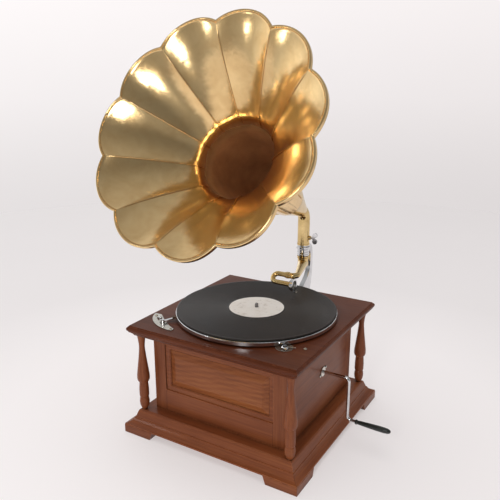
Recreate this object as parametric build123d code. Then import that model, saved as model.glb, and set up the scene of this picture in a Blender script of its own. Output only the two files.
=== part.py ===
"""Wind-up phonograph: wooden case on a moulded plinth, spring motor, turntable, tone arm and petal horn.

Millimetres, +Z up. The origin is the centre of the case on the floor. The front (raised panel) faces -Y,
the crank comes out of the +X side, the horn stands behind the case and opens towards -Y.
"""
import math
import os

from build123d import *

os.makedirs("parts", exist_ok=True)

# ---------------------------------------------------------------- driving dimensions
# plinth and feet
PLINTH_HALF = 181.5
PLINTH_TOP_HALF = 159.0
PLINTH_TOP_Z = 44.0
PLINTH_BORE_HALF = 118.0
FOOT_HEIGHT = 15.0
FOOT_LENGTH = 64.0
FOOT_WIDTH = 24.0
FOOT_HALF = 182.0
FOOT_SLANT = 5.0
FLOOR_HALF = 128.0
FLOOR_THICK = 8.0

# case
CASE_HALF = 138.5
WALL = 16.0
CASE_TOP_Z = 195.0
FRAME_OUT_X = 113.5
FRAME_LOW_Z = 87.0
FRAME_HIGH_Z = 179.0
FRAME_MOULD = 10.0
FRAME_SINK = 5.0
FIELD_TONGUE = 6.0
FIELD_THICK = 5.0
FIELD_RAISE = 4.5
FIELD_BEVEL = 12.0

# top board
TOP_HALF = 173.0
TOP_Z = 215.0
SPINDLE_HOLE_R = 6.0

# turned columns
COLUMN_AT = 154.0
COLUMN_PROFILE = [(4.4, 44.0), (6.4, 47.0), (8.6, 53.0), (9.3, 60.0), (8.6, 66.0), (7.5, 68.6),
                  (8.4, 70.0), (9.0, 73.0), (9.1, 84.0), (8.4, 95.0), (7.9, 100.6), (10.2, 102.6),
                  (11.4, 105.6), (11.8, 109.6), (11.5, 116.0), (9.8, 130.0), (7.2, 150.0),
                  (5.6, 166.0), (5.3, 172.0), (5.9, 180.0), (7.0, 188.0), (7.6, 191.0), (7.6, 195.0)]

# turntable
PLATTER_R = 152.5
PLATTER_TOP = 224.8
PLATTER_THICK = 2.0
PLATTER_RIM_LOW = 217.8
HUB_R = 10.0
MAT_R = 149.0
MAT_THICK = 1.2
RECORD_R = 151.0
RECORD_THICK = 2.0
LABEL_R = 52.0
LABEL_THICK = 0.2
SPINDLE_R = 3.6
NUB_R = 3.3
SPINDLE_TOP = 236.0

# motor
PLATE_LOW_Z = 100.0
PLATE_THICK = 3.0
PLATE_X0 = -78.0
PLATE_X1 = 110.0
PLATE_Y0 = -46.0
PLATE_Y1 = 58.0
PILLAR_R = 4.0
PILLAR_INSET = 7.0
BARREL_X = 60.0
BARREL_Y = 4.0
BARREL_R = 40.0
BARREL_WALL = 2.5
BARREL_LOW_Z = 145.0
BARREL_TOP_Z = 172.0
BARREL_GEAR_Z = 141.0
BARREL_TEETH = 72
BARREL_MODULE = 1.25
ARBOR_R = 4.0
RUN_FIT = 0.05
COUNTER_X = 16.65
COUNTER_Y = 33.60
COUNTER_PINION = 12
COUNTER_WHEEL = 60
TRAIN_MODULE = 1.0
SPINDLE_PINION = 15
WORM_WHEEL = 24
WORM_R = 4.0
GOVERNOR_Y = -16.0
GOVERNOR_Z = 155.0
GOVERNOR_X0 = -72.0
GOVERNOR_X1 = 14.0
WORM_TURNS = 4
GOVERNOR_R = 2.0
DISC_R = 11.5
DISC_X = -26.0
DISC_THICK = 2.0
WEIGHT_R = 3.6
COLLAR_X = -56.0
BEVEL_MODULE = 1.5
BEVEL_PINION = 16
BEVEL_WHEEL = 32
BEVEL_FACE = 8.0

# crank
CRANK_Y = 4.0
CRANK_Z = 128.0
CRANK_R = 3.0
CRANK_PLANE_X = 190.0
CRANK_THROW = 83.0
CRANK_BEND = 8.0
GRIP_X0 = 206.0
GRIP_X1 = 272.0
GRIP_R = 5.2
SHAFT_R = 5.0
SHAFT_X0 = 76.0
SHAFT_X1 = 121.0
BUSH_R = 9.0

# brake and speed regulator on the top board
BRAKE_PIVOT = (-121.0, -131.0)
BRAKE_TIP_ANGLE = 224.5
LEVER_Z = 219.0
SPEED_PIVOT = (116.0, -107.0)
ROCKER_PIVOT = (38.0, -62.0)
CAM_THROW = 3.5
CAM_PIN_R = 1.5
PAD_GAP = 0.9
LINK_HALF = 3.0
LINK_THICK = 2.0
ROCKER_HUB_R = 6.0
SLOT_END_R = 4.6
SLOT_PLAY = 0.6
CAM_SHAFT_R = 2.0
ROCKER_Z = 181.5

# horn support and tone arm
PIVOT_Y = 197.0
RING_R = 12.6
RING_LOW = 281.0
RING_TOP = 304.0
RING_BEADS = ((282.0, 3.0, 0.8), (287.0, 3.0, 0.8), (294.0, 8.0, 1.9))
SLEEVE_R = 11.7
SLEEVE_TOP = 328.0
BORE_R = 9.5
ARM_ROOT_R = 9.4
ARM_WALL = 1.0
ARM_Z = 262.0
ARM_BEND = 12.4
ARM_END = (30.0, 108.0)
ARM_TIP_R = 6.0
ARM_KNEE_R = 11.2
ARM_BALL = 0.5
ARM_BEADS = ((273.0, 1.2), (277.0, 1.8))
ARM_BEAD_TALL = 3.2
LIMB_END_X = 8.0
GOOSE_R = 5.1
GOOSE_WALL = 0.8
GOOSE_TURN_X = -11.0
BOX_Y = 96.0
BOX_Z = 248.0
BOX_R = 12.4
BOX_X0 = 24.0
BOX_DEPTH = 7.0
CHUCK_R = 1.7
CHUCK_LENGTH = 2.8
NEEDLE_R = 0.6
NEEDLE_TIP_Z = 228.1
THUMB_Z = 320.0
THUMB_R = 2.0
THUMB_NECK = 21.0
WING_THICK = 3.0
WING_EAR_R = 5.4
WING_EAR_RISE = 6.8

# horn
ELBOW_R = 12.7
ELBOW_WALL = 0.85
ELBOW_CORNER_Z = 373.7
ELBOW_BEND = 24.0
HORN_PITCH = 28.1
PETALS = 11
NOTCH_R = 188.5
LOBE_R = 203.0
NECK_S = 90.0
NECK_R = 34.0
HORN_WALL = 0.8
RIM_WIDTH = 3.2
RIM_DEPTH = 4.6
NOTCH_PHASE = 98.4
BELL_CURVE = [(90.0, 34.0), (120.0, 39.5), (160.0, 46.0), (210.0, 53.0), (260.0, 61.0), (295.0, 68.5),
              (306.0, 72.5), (318.0, 81.5), (340.0, 104.0), (362.0, 128.0), (384.0, 153.5),
              (402.0, 177.5), (414.0, 197.0), (418.0, 206.0)]

ROUND = math.radians(360.0)


# ---------------------------------------------------------------- helpers
def box(x0, x1, y0, y1, z0, z1):
    """Box from its two corners."""
    middle = Location(((x0 + x1) / 2, (y0 + y1) / 2, (z0 + z1) / 2))
    return middle * Box(x1 - x0, y1 - y0, z1 - z0)


def rod(p, q, r, r_end=None):
    """Round bar, or cone, from point p to point q."""
    start = Vector(*p)
    along = Vector(*q) - start
    plane = Plane(origin=start, z_dir=along)
    if r_end is None or abs(r_end - r) < 1e-6:
        solid = Cylinder(r, along.length, align=(Align.CENTER, Align.CENTER, Align.MIN))
    else:
        solid = Cone(r, r_end, along.length, align=(Align.CENTER, Align.CENTER, Align.MIN))
    return plane * solid


def bend(start, tangent, centre, angle, r):
    """Circular bend: a disc at start, normal to tangent, turned about the centre."""
    axis_dir = Vector(*tangent).cross(Vector(*centre) - Vector(*start))
    disc = Plane(origin=Vector(*start), z_dir=Vector(*tangent)) * Circle(r)
    return revolve(disc, axis=Axis(Vector(*centre), axis_dir), revolution_arc=angle)


def turned(profile, x, y):
    """Body turned about the vertical through (x, y) from (radius, z) points."""
    points = [(0.0, profile[0][1])] + list(profile) + [(0.0, profile[-1][1])]
    face = make_face(Polyline([(r, 0.0, z) for r, z in points], close=True))
    return Location((x, y, 0.0)) * revolve(face, axis=Axis.Z)


def moulded_board(points):
    """Square board whose four edges all carry the same (half width, z) moulding, mitred at the corners."""
    right = [(c, z) for c, z in points]
    left = [(-c, z) for c, z in reversed(points)]
    reach = 2.0 * max(c for c, _ in points)
    front = make_face(Polyline([(c, 0.0, z) for c, z in right + left], close=True))
    side = make_face(Polyline([(0.0, c, z) for c, z in right + left], close=True))
    along_y = extrude(front, amount=reach, dir=(0, 1, 0), both=True)
    along_x = extrude(side, amount=reach, dir=(1, 0, 0), both=True)
    return along_y & along_x


def spur(teeth, module, z0, z1, bore, x=0.0, y=0.0, turn=0.0, width=0.42):
    """Straight gear with thin trapezoid teeth that leave running backlash."""
    pitch_r = teeth * module / 2
    root = pitch_r - 1.15 * module
    step = 360.0 / teeth
    half_pitch = step * width / 2
    half_tip = half_pitch * 0.55
    half_root = half_pitch * 1.35
    tip = pitch_r + 0.85 * module
    points = []
    for k in range(teeth):
        base = turn + k * step
        for radius, offset in ((root, -half_root), (pitch_r, -half_pitch), (tip, -half_tip),
                               (tip, half_tip), (pitch_r, half_pitch), (root, half_root)):
            a = math.radians(base + offset)
            points.append((x + radius * math.cos(a), y + radius * math.sin(a), z0))
    solid = extrude(make_face(Polyline(points, close=True)), amount=z1 - z0, dir=(0, 0, 1))
    if bore > 0:
        solid -= rod((x, y, z0 - 1), (x, y, z1 + 1), bore)
    return solid


def bevel(teeth, module, mate_teeth, face, turn):
    """Straight bevel gear about +Z, apex at the origin, back face at negative Z."""
    pitch_r = teeth * module / 2
    back = mate_teeth * module / 2
    slope = math.atan2(pitch_r, back)
    cone = math.hypot(pitch_r, back)
    shrink = (cone - face) / cone

    def section(scale):
        points = []
        step = 360.0 / teeth
        half = step * 0.40 / 2
        for k in range(teeth):
            for height, offset in ((-1.15, -half * 1.35), (0.0, -half), (0.8, -half * 0.6),
                                   (0.8, half * 0.6), (0.0, half), (-1.15, half * 1.35)):
                r = (pitch_r + height * module * math.cos(slope)) * scale
                z = -(back - height * module * math.sin(slope)) * scale
                a = math.radians(turn + k * step + offset)
                points.append((r * math.cos(a), r * math.sin(a), z))
        return points

    outer = section(1.0)
    inner = section(shrink)
    count = len(outer)
    low = Vector(0, 0, -back - 1.15 * module * math.sin(slope))
    high = Vector(0, 0, -back * shrink - 1.15 * module * math.sin(slope) * shrink)
    faces = []
    for i in range(count):
        j = (i + 1) % count
        a, b, c, d = (Vector(*outer[i]), Vector(*outer[j]), Vector(*inner[j]), Vector(*inner[i]))
        faces.append(Face(Wire.make_polygon([a, b, c], close=True)))
        faces.append(Face(Wire.make_polygon([a, c, d], close=True)))
        faces.append(Face(Wire.make_polygon([low, b, a], close=True)))
        faces.append(Face(Wire.make_polygon([high, d, c], close=True)))
    return Solid(Shell(faces))


def screw(x, y, z, up, head_r, head_h, shank_r, shank_l):
    """Slotted dome-headed screw; up is the direction the head faces."""
    tip = Vector(*up)
    seat = Vector(x, y, z)
    plane = Plane(origin=seat, z_dir=tip)
    head = Cylinder(head_r, head_h, align=(Align.CENTER, Align.CENTER, Align.MIN))
    head = chamfer(head.edges().group_by(Axis.Z)[-1], head_h * 0.55)
    slot = Location((0, 0, head_h)) * Box(head_r * 2.2, head_r * 0.28, head_h * 0.7)
    shank = Cylinder(shank_r, shank_l, align=(Align.CENTER, Align.CENTER, Align.MAX))
    return plane * (head - slot + shank)


# ---------------------------------------------------------------- wooden case
def plinth():
    """Moulded plinth: steep upper bevel, hollow lower sweep, thin bead over the feet."""
    profile = [(PLINTH_HALF, FOOT_HEIGHT), (PLINTH_HALF, 17.4), (178.6, 18.2), (175.0, 20.0),
               (171.6, 22.8), (169.2, 26.2), (168.2, 28.4), (166.6, 29.0), (163.4, 38.2),
               (161.6, 42.2), (PLINTH_TOP_HALF, PLINTH_TOP_Z)]
    body = moulded_board(profile)
    bore = PLINTH_BORE_HALF
    body -= box(-bore, bore, -bore, bore, 0, PLINTH_TOP_Z + 1)
    body -= box(-FLOOR_HALF, FLOOR_HALF, -FLOOR_HALF, FLOOR_HALF, 0, FOOT_HEIGHT + FLOOR_THICK)
    return body


def foot(sx, sy):
    """L-shaped corner bracket foot with slanted inner ends."""
    far = FOOT_HALF
    near = far - FOOT_LENGTH
    slant = near + FOOT_SLANT
    run_x = make_face(Polyline([(far, 0.0, 0.0), (slant, 0.0, 0.0), (near, 0.0, FOOT_HEIGHT),
                                (far, 0.0, FOOT_HEIGHT)], close=True))
    leg_x = Location((0, far, 0)) * extrude(run_x, amount=FOOT_WIDTH, dir=(0, -1, 0))
    run_y = make_face(Polyline([(0.0, far, 0.0), (0.0, slant, 0.0), (0.0, near, FOOT_HEIGHT),
                                (0.0, far, FOOT_HEIGHT)], close=True))
    leg_y = Location((far, 0, 0)) * extrude(run_y, amount=FOOT_WIDTH, dir=(-1, 0, 0))
    body = leg_x + leg_y
    if sx < 0:
        body = mirror(body, about=Plane.YZ)
    if sy < 0:
        body = mirror(body, about=Plane.XZ)
    return body


def bottom_board():
    """Board let into the underside of the plinth."""
    return box(-FLOOR_HALF, FLOOR_HALF, -FLOOR_HALF, FLOOR_HALF, FOOT_HEIGHT, FOOT_HEIGHT + FLOOR_THICK)


def front_frame():
    """Front board with a moulded rectangular window and a groove for the raised field."""
    face_y = -CASE_HALF
    body = box(-CASE_HALF, CASE_HALF, face_y, face_y + WALL, PLINTH_TOP_Z, CASE_TOP_Z)
    mid_z = (FRAME_LOW_Z + FRAME_HIGH_Z) / 2
    wide = 2 * FRAME_OUT_X
    tall = FRAME_HIGH_Z - FRAME_LOW_Z
    plane = Plane(origin=(0, face_y, mid_z), x_dir=(1, 0, 0), z_dir=(0, -1, 0))
    steps = [(0.0, 0.0), (1.2, 2.6), (3.2, 3.0), (4.6, 1.2), (6.4, 1.4), (8.4, 3.4),
             (FRAME_MOULD, FRAME_SINK)]
    for (in_a, deep_a), (in_b, deep_b) in zip(steps[:-1], steps[1:]):
        first = plane * Location((0, 0, -deep_a)) * Rectangle(wide - 2 * in_a, tall - 2 * in_a)
        second = plane * Location((0, 0, -deep_b)) * Rectangle(wide - 2 * in_b, tall - 2 * in_b)
        if deep_b > deep_a:
            body -= loft([first, second])
        else:
            window = Rectangle(wide - 2 * in_b, tall - 2 * in_b)
            body -= plane * Location((0, 0, -deep_a)) * extrude(window, 9)
    inner_x = FRAME_OUT_X - FRAME_MOULD
    inner_low = FRAME_LOW_Z + FRAME_MOULD
    inner_high = FRAME_HIGH_Z - FRAME_MOULD
    body -= box(-inner_x, inner_x, face_y - 1, face_y + WALL + 1, inner_low, inner_high)
    groove_y = face_y + FRAME_SINK + 1.0
    body -= box(-inner_x - FIELD_TONGUE, inner_x + FIELD_TONGUE, groove_y, face_y + WALL + 1,
                inner_low - FIELD_TONGUE, inner_high + FIELD_TONGUE)
    return body


def front_field():
    """Raised field: thin tongue all round, sloping bevel, flat raised centre."""
    face_y = -CASE_HALF
    inner_x = FRAME_OUT_X - FRAME_MOULD
    inner_low = FRAME_LOW_Z + FRAME_MOULD
    inner_high = FRAME_HIGH_Z - FRAME_MOULD
    groove_y = face_y + FRAME_SINK + 1.0
    body = box(-inner_x - FIELD_TONGUE, inner_x + FIELD_TONGUE, groove_y, groove_y + FIELD_THICK,
               inner_low - FIELD_TONGUE, inner_high + FIELD_TONGUE)
    plane = Plane(origin=(0, groove_y, (inner_low + inner_high) / 2), x_dir=(1, 0, 0), z_dir=(0, -1, 0))
    wide = 2 * inner_x - 1.0
    tall = inner_high - inner_low - 1.0
    low = plane * Rectangle(wide, tall)
    high = plane * Location((0, 0, FIELD_RAISE)) * Rectangle(wide - 2 * FIELD_BEVEL, tall - 2 * FIELD_BEVEL)
    return body + loft([low, high])


def side_board(sign):
    """Plain side; the right-hand one has the hole for the crank bush."""
    inner = CASE_HALF - WALL
    body = box(inner, CASE_HALF, -inner, inner, PLINTH_TOP_Z, CASE_TOP_Z)
    if sign > 0:
        body -= rod((inner - 1, CRANK_Y, CRANK_Z), (CASE_HALF + 1, CRANK_Y, CRANK_Z), BUSH_R - 2.0)
        return body
    return mirror(body, about=Plane.YZ)


def back_board():
    """Plain back of the case."""
    return box(-CASE_HALF, CASE_HALF, CASE_HALF - WALL, CASE_HALF, PLINTH_TOP_Z, CASE_TOP_Z)


def column(sx, sy):
    """Turned corner column standing on the plinth."""
    return turned(COLUMN_PROFILE, sx * COLUMN_AT, sy * COLUMN_AT)


def top_board():
    """Top board with a rounded nose over a hollow, bored for spindle, brake and regulator."""
    profile = [(163.0, CASE_TOP_Z), (164.4, 197.6), (167.2, 200.4), (170.2, 202.2), (170.2, 203.6),
               (172.2, 205.4), (TOP_HALF, 208.0), (172.6, 210.6), (171.0, 212.6), (169.4, 213.2),
               (169.4, 214.2), (168.6, TOP_Z)]
    body = moulded_board(profile)
    body -= rod((0, 0, CASE_TOP_Z - 1), (0, 0, TOP_Z + 1), SPINDLE_HOLE_R)
    x, y = SPEED_PIVOT
    body -= rod((x, y, CASE_TOP_Z - 1), (x, y, TOP_Z + 1), 2.0 + RUN_FIT)
    return body


# ---------------------------------------------------------------- spring motor
def motor_plate(z0, upper):
    """Flat motor plate with bearing holes."""
    body = box(PLATE_X0, PLATE_X1, PLATE_Y0, PLATE_Y1, z0, z0 + PLATE_THICK)
    body = chamfer(body.edges().filter_by(Axis.Z), 8.0)
    holes = [(0.0, 0.0, SPINDLE_R), (BARREL_X, BARREL_Y, ARBOR_R), (COUNTER_X, COUNTER_Y, GOVERNOR_R)]
    for x, y, r in holes:
        body -= rod((x, y, z0 - 1), (x, y, z0 + PLATE_THICK + 1), r + RUN_FIT)
    if upper:
        x, y = ROCKER_PIVOT
        ear = box(x - 9, x + 9, y - 7, PLATE_Y0 + 1, z0, z0 + PLATE_THICK)
        body += ear
    return body


def motor_pillars():
    """Four shouldered pillars that hold the motor plates apart."""
    low = PLATE_LOW_Z + PLATE_THICK
    high = CASE_TOP_Z - PLATE_THICK
    solids = []
    for x in (PLATE_X0 + PILLAR_INSET + 1, PLATE_X1 - PILLAR_INSET - 1):
        for y in (PLATE_Y0 + PILLAR_INSET + 1, PLATE_Y1 - PILLAR_INSET - 1):
            solids.append(rod((x, y, low), (x, y, high), PILLAR_R))
    return Compound(children=solids)


def spring_barrel():
    """Spring drum with its toothed rim, closed by a cover."""
    drum = rod((BARREL_X, BARREL_Y, BARREL_LOW_Z), (BARREL_X, BARREL_Y, BARREL_TOP_Z), BARREL_R)
    hollow_r = BARREL_R - BARREL_WALL
    hollow_top = BARREL_TOP_Z - BARREL_WALL
    drum -= rod((BARREL_X, BARREL_Y, BARREL_LOW_Z), (BARREL_X, BARREL_Y, hollow_top), hollow_r)
    gear = spur(BARREL_TEETH, BARREL_MODULE, BARREL_GEAR_Z, BARREL_LOW_Z, 0.0, BARREL_X, BARREL_Y)
    body = drum + gear
    body -= rod((BARREL_X, BARREL_Y, BARREL_GEAR_Z - 1), (BARREL_X, BARREL_Y, BARREL_TOP_Z + 1),
                ARBOR_R + RUN_FIT)
    return body


def mainspring():
    """Spiral spring strip inside the barrel."""
    turns = 9
    inner = ARBOR_R + 3.0
    outer = BARREL_R - BARREL_WALL
    strip = 0.8
    steps = 24 * turns
    out_side = []
    in_side = []
    for i in range(steps + 1):
        a = ROUND * turns * i / steps
        r = inner + (outer - inner) * i / steps
        out_side.append((BARREL_X + r * math.cos(a), BARREL_Y + r * math.sin(a)))
        in_side.append((BARREL_X + (r - strip) * math.cos(a), BARREL_Y + (r - strip) * math.sin(a)))
    outline = [(x, y, BARREL_LOW_Z + 1.0) for x, y in out_side + in_side[::-1]]
    tall = BARREL_TOP_Z - BARREL_WALL - BARREL_LOW_Z - 2.0
    return extrude(make_face(Polyline(outline, close=True)), amount=tall, dir=(0, 0, 1))


def winding_arbor():
    """Barrel arbor with the bevel wheel the crank drives."""
    low = PLATE_LOW_Z
    body = rod((BARREL_X, BARREL_Y, low), (BARREL_X, BARREL_Y, CASE_TOP_Z), ARBOR_R)
    wheel = bevel(BEVEL_WHEEL, BEVEL_MODULE, BEVEL_PINION, BEVEL_FACE, 0.0)
    wheel = Location((BARREL_X, BARREL_Y, CRANK_Z)) * wheel
    hub_low = CRANK_Z - BEVEL_PINION * BEVEL_MODULE / 2 - 5.0
    hub = rod((BARREL_X, BARREL_Y, hub_low), (BARREL_X, BARREL_Y, hub_low + 6.0), 12.0)
    return body + wheel + hub


def winding_shaft():
    """Horizontal shaft with the bevel pinion inside and the crank socket outside."""
    pinion = bevel(BEVEL_PINION, BEVEL_MODULE, BEVEL_WHEEL, BEVEL_FACE, 360.0 / BEVEL_PINION / 2)
    place = Plane(origin=(BARREL_X, CRANK_Y, CRANK_Z), x_dir=(0, 0, -1), z_dir=(-1, 0, 0))
    pinion = place * pinion
    shaft = rod((SHAFT_X0 + 2.0, CRANK_Y, CRANK_Z), (SHAFT_X1, CRANK_Y, CRANK_Z), SHAFT_R)
    socket = rod((SHAFT_X1 - 14.0, CRANK_Y, CRANK_Z), (SHAFT_X1 + 1, CRANK_Y, CRANK_Z), CRANK_R)
    return pinion + shaft - socket


def winding_bearing():
    """Standard on the lower plate that carries the winding shaft."""
    x0 = 97.0
    x1 = 103.0
    body = box(x0, x1, CRANK_Y - 9, CRANK_Y + 9, PLATE_LOW_Z + PLATE_THICK, CRANK_Z)
    body += rod((x0, CRANK_Y, CRANK_Z), (x1, CRANK_Y, CRANK_Z), 9.0)
    body -= rod((x0 - 1, CRANK_Y, CRANK_Z), (x1 + 1, CRANK_Y, CRANK_Z), SHAFT_R + RUN_FIT)
    return body


def counter_shaft():
    """Intermediate shaft: pinion driven by the barrel, large wheel driving the spindle."""
    body = rod((COUNTER_X, COUNTER_Y, PLATE_LOW_Z), (COUNTER_X, COUNTER_Y, CASE_TOP_Z), GOVERNOR_R)
    reach = math.degrees(math.atan2(BARREL_Y - COUNTER_Y, BARREL_X - COUNTER_X))
    gap = 360.0 / COUNTER_PINION / 2
    mate = 360.0 / BARREL_TEETH
    lead = (180.0 + reach) % mate
    turn = reach + gap + lead * BARREL_TEETH / COUNTER_PINION
    body += spur(COUNTER_PINION, BARREL_MODULE, 138.5, 147.5, 0.0, COUNTER_X, COUNTER_Y, turn)
    body += spur(COUNTER_WHEEL, TRAIN_MODULE, 178.0, 181.0, 0.0, COUNTER_X, COUNTER_Y, turn)
    body += rod((COUNTER_X, COUNTER_Y, 174.5), (COUNTER_X, COUNTER_Y, 184.0), 6.0)
    return body, turn


def spindle(counter_turn):
    """Turntable spindle with its pinion and the governor worm wheel."""
    label_top = PLATTER_TOP + MAT_THICK + RECORD_THICK + LABEL_THICK
    body = rod((0, 0, PLATE_LOW_Z), (0, 0, label_top), SPINDLE_R)
    body += rod((0, 0, label_top), (0, 0, SPINDLE_TOP - 2.0), NUB_R)
    body += rod((0, 0, SPINDLE_TOP - 2.0), (0, 0, SPINDLE_TOP), NUB_R, NUB_R - 1.4)
    back = math.degrees(math.atan2(COUNTER_Y, COUNTER_X))
    step_wheel = 360.0 / COUNTER_WHEEL
    step_pinion = 360.0 / SPINDLE_PINION
    lead = (180.0 + back - counter_turn) % step_wheel
    turn = back + step_pinion / 2 + lead * COUNTER_WHEEL / SPINDLE_PINION
    body += spur(SPINDLE_PINION, TRAIN_MODULE, 175.5, 183.5, 0.0, 0.0, 0.0, turn)
    body += spur(WORM_WHEEL, TRAIN_MODULE, GOVERNOR_Z - 2.0, GOVERNOR_Z + 2.0, 0.0, 0.0, 0.0,
                 -90.0 + 360.0 / WORM_WHEEL / 2, 0.36)
    body += rod((0, 0, GOVERNOR_Z - 5.0), (0, 0, GOVERNOR_Z + 5.0), 7.0)
    return body


def governor_shaft():
    """Governor shaft with its single-start worm, fixed collar and friction disc."""
    pitch = math.pi * TRAIN_MODULE
    length = WORM_TURNS * pitch
    body = rod((GOVERNOR_X0, GOVERNOR_Y, GOVERNOR_Z), (GOVERNOR_X1, GOVERNOR_Y, GOVERNOR_Z), GOVERNOR_R)
    root = WORM_R - 1.2
    body += rod((-length / 2 - 1, GOVERNOR_Y, GOVERNOR_Z), (length / 2 + 1, GOVERNOR_Y, GOVERNOR_Z), root)
    helix = Helix(pitch=pitch, height=length, radius=root)
    start = helix @ 0
    section = Plane(origin=start, x_dir=(1, 0, 0), z_dir=helix % 0)
    tooth = make_face(Polyline([(-0.3, -0.62), (1.1, -0.5), (2.1, -0.3), (2.1, 0.3), (1.1, 0.5),
                                (-0.3, 0.62)], close=True))
    thread = sweep(section * tooth, path=helix, is_frenet=True)
    lay = Plane(origin=(-length / 2, GOVERNOR_Y, GOVERNOR_Z), x_dir=(0, 1, 0), z_dir=(1, 0, 0))
    body += lay * thread
    body += rod((COLLAR_X - 3, GOVERNOR_Y, GOVERNOR_Z), (COLLAR_X + 3, GOVERNOR_Y, GOVERNOR_Z), 6.0)
    body += rod((DISC_X - 4, GOVERNOR_Y, GOVERNOR_Z), (DISC_X, GOVERNOR_Y, GOVERNOR_Z), 6.0)
    body += rod((DISC_X, GOVERNOR_Y, GOVERNOR_Z), (DISC_X + DISC_THICK, GOVERNOR_Y, GOVERNOR_Z), DISC_R)
    return body


def governor_springs():
    """Three flat springs bowed between collar and disc hub."""
    solids = []
    mid = (COLLAR_X + DISC_X - 2) / 2
    flat = [(COLLAR_X - 2, 6.0), (COLLAR_X + 5, 6.3), (mid, 7.6), (DISC_X - 6, 6.3), (DISC_X - 1, 6.0)]
    outline = [(x, r) for x, r in flat] + [(x, r + 0.4) for x, r in reversed(flat)]
    face = make_face(Polyline([(x, 0.0, r) for x, r in outline], close=True))
    strip = extrude(face, amount=2.0, dir=(0, 1, 0), both=True)
    for k in range(3):
        turned_strip = strip.rotate(Axis.X, 120.0 * k)
        solids.append(Location((0, GOVERNOR_Y, GOVERNOR_Z)) * turned_strip)
    return Compound(children=solids)


def governor_weights():
    """Three lead weights riveted to the middle of the springs."""
    solids = []
    mid = (COLLAR_X + DISC_X - 2) / 2
    ball = Location((mid, 0, 8.0 + WEIGHT_R - 0.6)) * Sphere(WEIGHT_R)
    ball -= box(mid - 9, mid + 9, -9, 9, 0.0, 8.0)
    for k in range(3):
        solids.append(Location((0, GOVERNOR_Y, GOVERNOR_Z)) * ball.rotate(Axis.X, 120.0 * k))
    return Compound(children=solids)


def governor_bearings():
    """Two standards that carry the ends of the governor shaft."""
    solids = []
    for x0 in (GOVERNOR_X0, GOVERNOR_X1 - 6.0):
        post = box(x0, x0 + 6.0, GOVERNOR_Y - 5, GOVERNOR_Y + 5, PLATE_LOW_Z + PLATE_THICK, GOVERNOR_Z + 6)
        post -= rod((x0 - 1, GOVERNOR_Y, GOVERNOR_Z), (x0 + 7, GOVERNOR_Y, GOVERNOR_Z), GOVERNOR_R + RUN_FIT)
        solids.append(post)
    return Compound(children=solids)


def cam_place():
    """Centre of the regulator's cam pin at rest, on the line from the knob to the rocker pivot."""
    dx = ROCKER_PIVOT[0] - SPEED_PIVOT[0]
    dy = ROCKER_PIVOT[1] - SPEED_PIVOT[1]
    share = CAM_THROW / math.hypot(dx, dy)
    return SPEED_PIVOT[0] + dx * share, SPEED_PIVOT[1] + dy * share


def speed_rocker():
    """Rocker with a slot for the cam pin and a felt pad that faces the governor disc."""
    x, y = ROCKER_PIVOT
    pad_x = DISC_X + DISC_THICK + PAD_GAP
    far = (pad_x + 3.0, GOVERNOR_Y - 6.0)
    near = cam_place()
    body = flat_link(far, (x, y), LINK_HALF, ROCKER_Z, LINK_THICK)
    body += flat_link((x, y), near, LINK_HALF, ROCKER_Z, LINK_THICK)
    body += rod((x, y, ROCKER_Z), (x, y, ROCKER_Z + LINK_THICK), ROCKER_HUB_R)
    body += rod((*near, ROCKER_Z), (*near, ROCKER_Z + LINK_THICK), SLOT_END_R)
    body += rod((x, y, ROCKER_Z + LINK_THICK), (x, y, CASE_TOP_Z - PLATE_THICK), 2.5)
    body += rod((far[0], far[1], GOVERNOR_Z + 4.0), (far[0], far[1], ROCKER_Z + 1.0), 1.6)
    body += rod((pad_x, far[1], GOVERNOR_Z + 6.0), (far[0], far[1], GOVERNOR_Z + 6.0), 2.2)
    share = SLOT_PLAY / math.hypot(near[0] - x, near[1] - y)
    reach = ((near[0] - x) * share, (near[1] - y) * share)
    low = (near[0] - reach[0], near[1] - reach[1])
    high = (near[0] + reach[0], near[1] + reach[1])
    return body - flat_link(low, high, CAM_PIN_R + 0.2, ROCKER_Z - 1.0, 4.0)


def flat_link(p, q, half, z0, thick):
    """Flat bar with rounded ends between two points in plan."""
    ax, ay = p
    bx, by = q
    length = math.hypot(bx - ax, by - ay)
    plane = Plane(origin=(ax, ay, z0), x_dir=(bx - ax, by - ay, 0), z_dir=(0, 0, 1))
    outline = SlotCenterToCenter(length, 2 * half)
    return plane * Location((length / 2, 0, 0)) * extrude(outline, thick)


# ---------------------------------------------------------------- crank
def crank_bush():
    """Flanged bush in the side of the case."""
    body = rod((CASE_HALF, CRANK_Y, CRANK_Z), (CASE_HALF + 1.6, CRANK_Y, CRANK_Z), BUSH_R)
    body += rod((CASE_HALF - WALL, CRANK_Y, CRANK_Z), (CASE_HALF, CRANK_Y, CRANK_Z), BUSH_R - 2.0)
    body -= rod((CASE_HALF - WALL - 1, CRANK_Y, CRANK_Z), (CASE_HALF + 2, CRANK_Y, CRANK_Z),
                CRANK_R + RUN_FIT)
    return body


def crank_screws():
    """Two dome-headed screws beside the bush."""
    spots = [(CRANK_Y - 11.5, CRANK_Z - 4.5), (CRANK_Y + 11.5, CRANK_Z + 4.5)]
    return Compound(children=[screw(CASE_HALF, y, z, (1, 0, 0), 2.9, 2.0, 1.4, 9.0) for y, z in spots])


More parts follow.
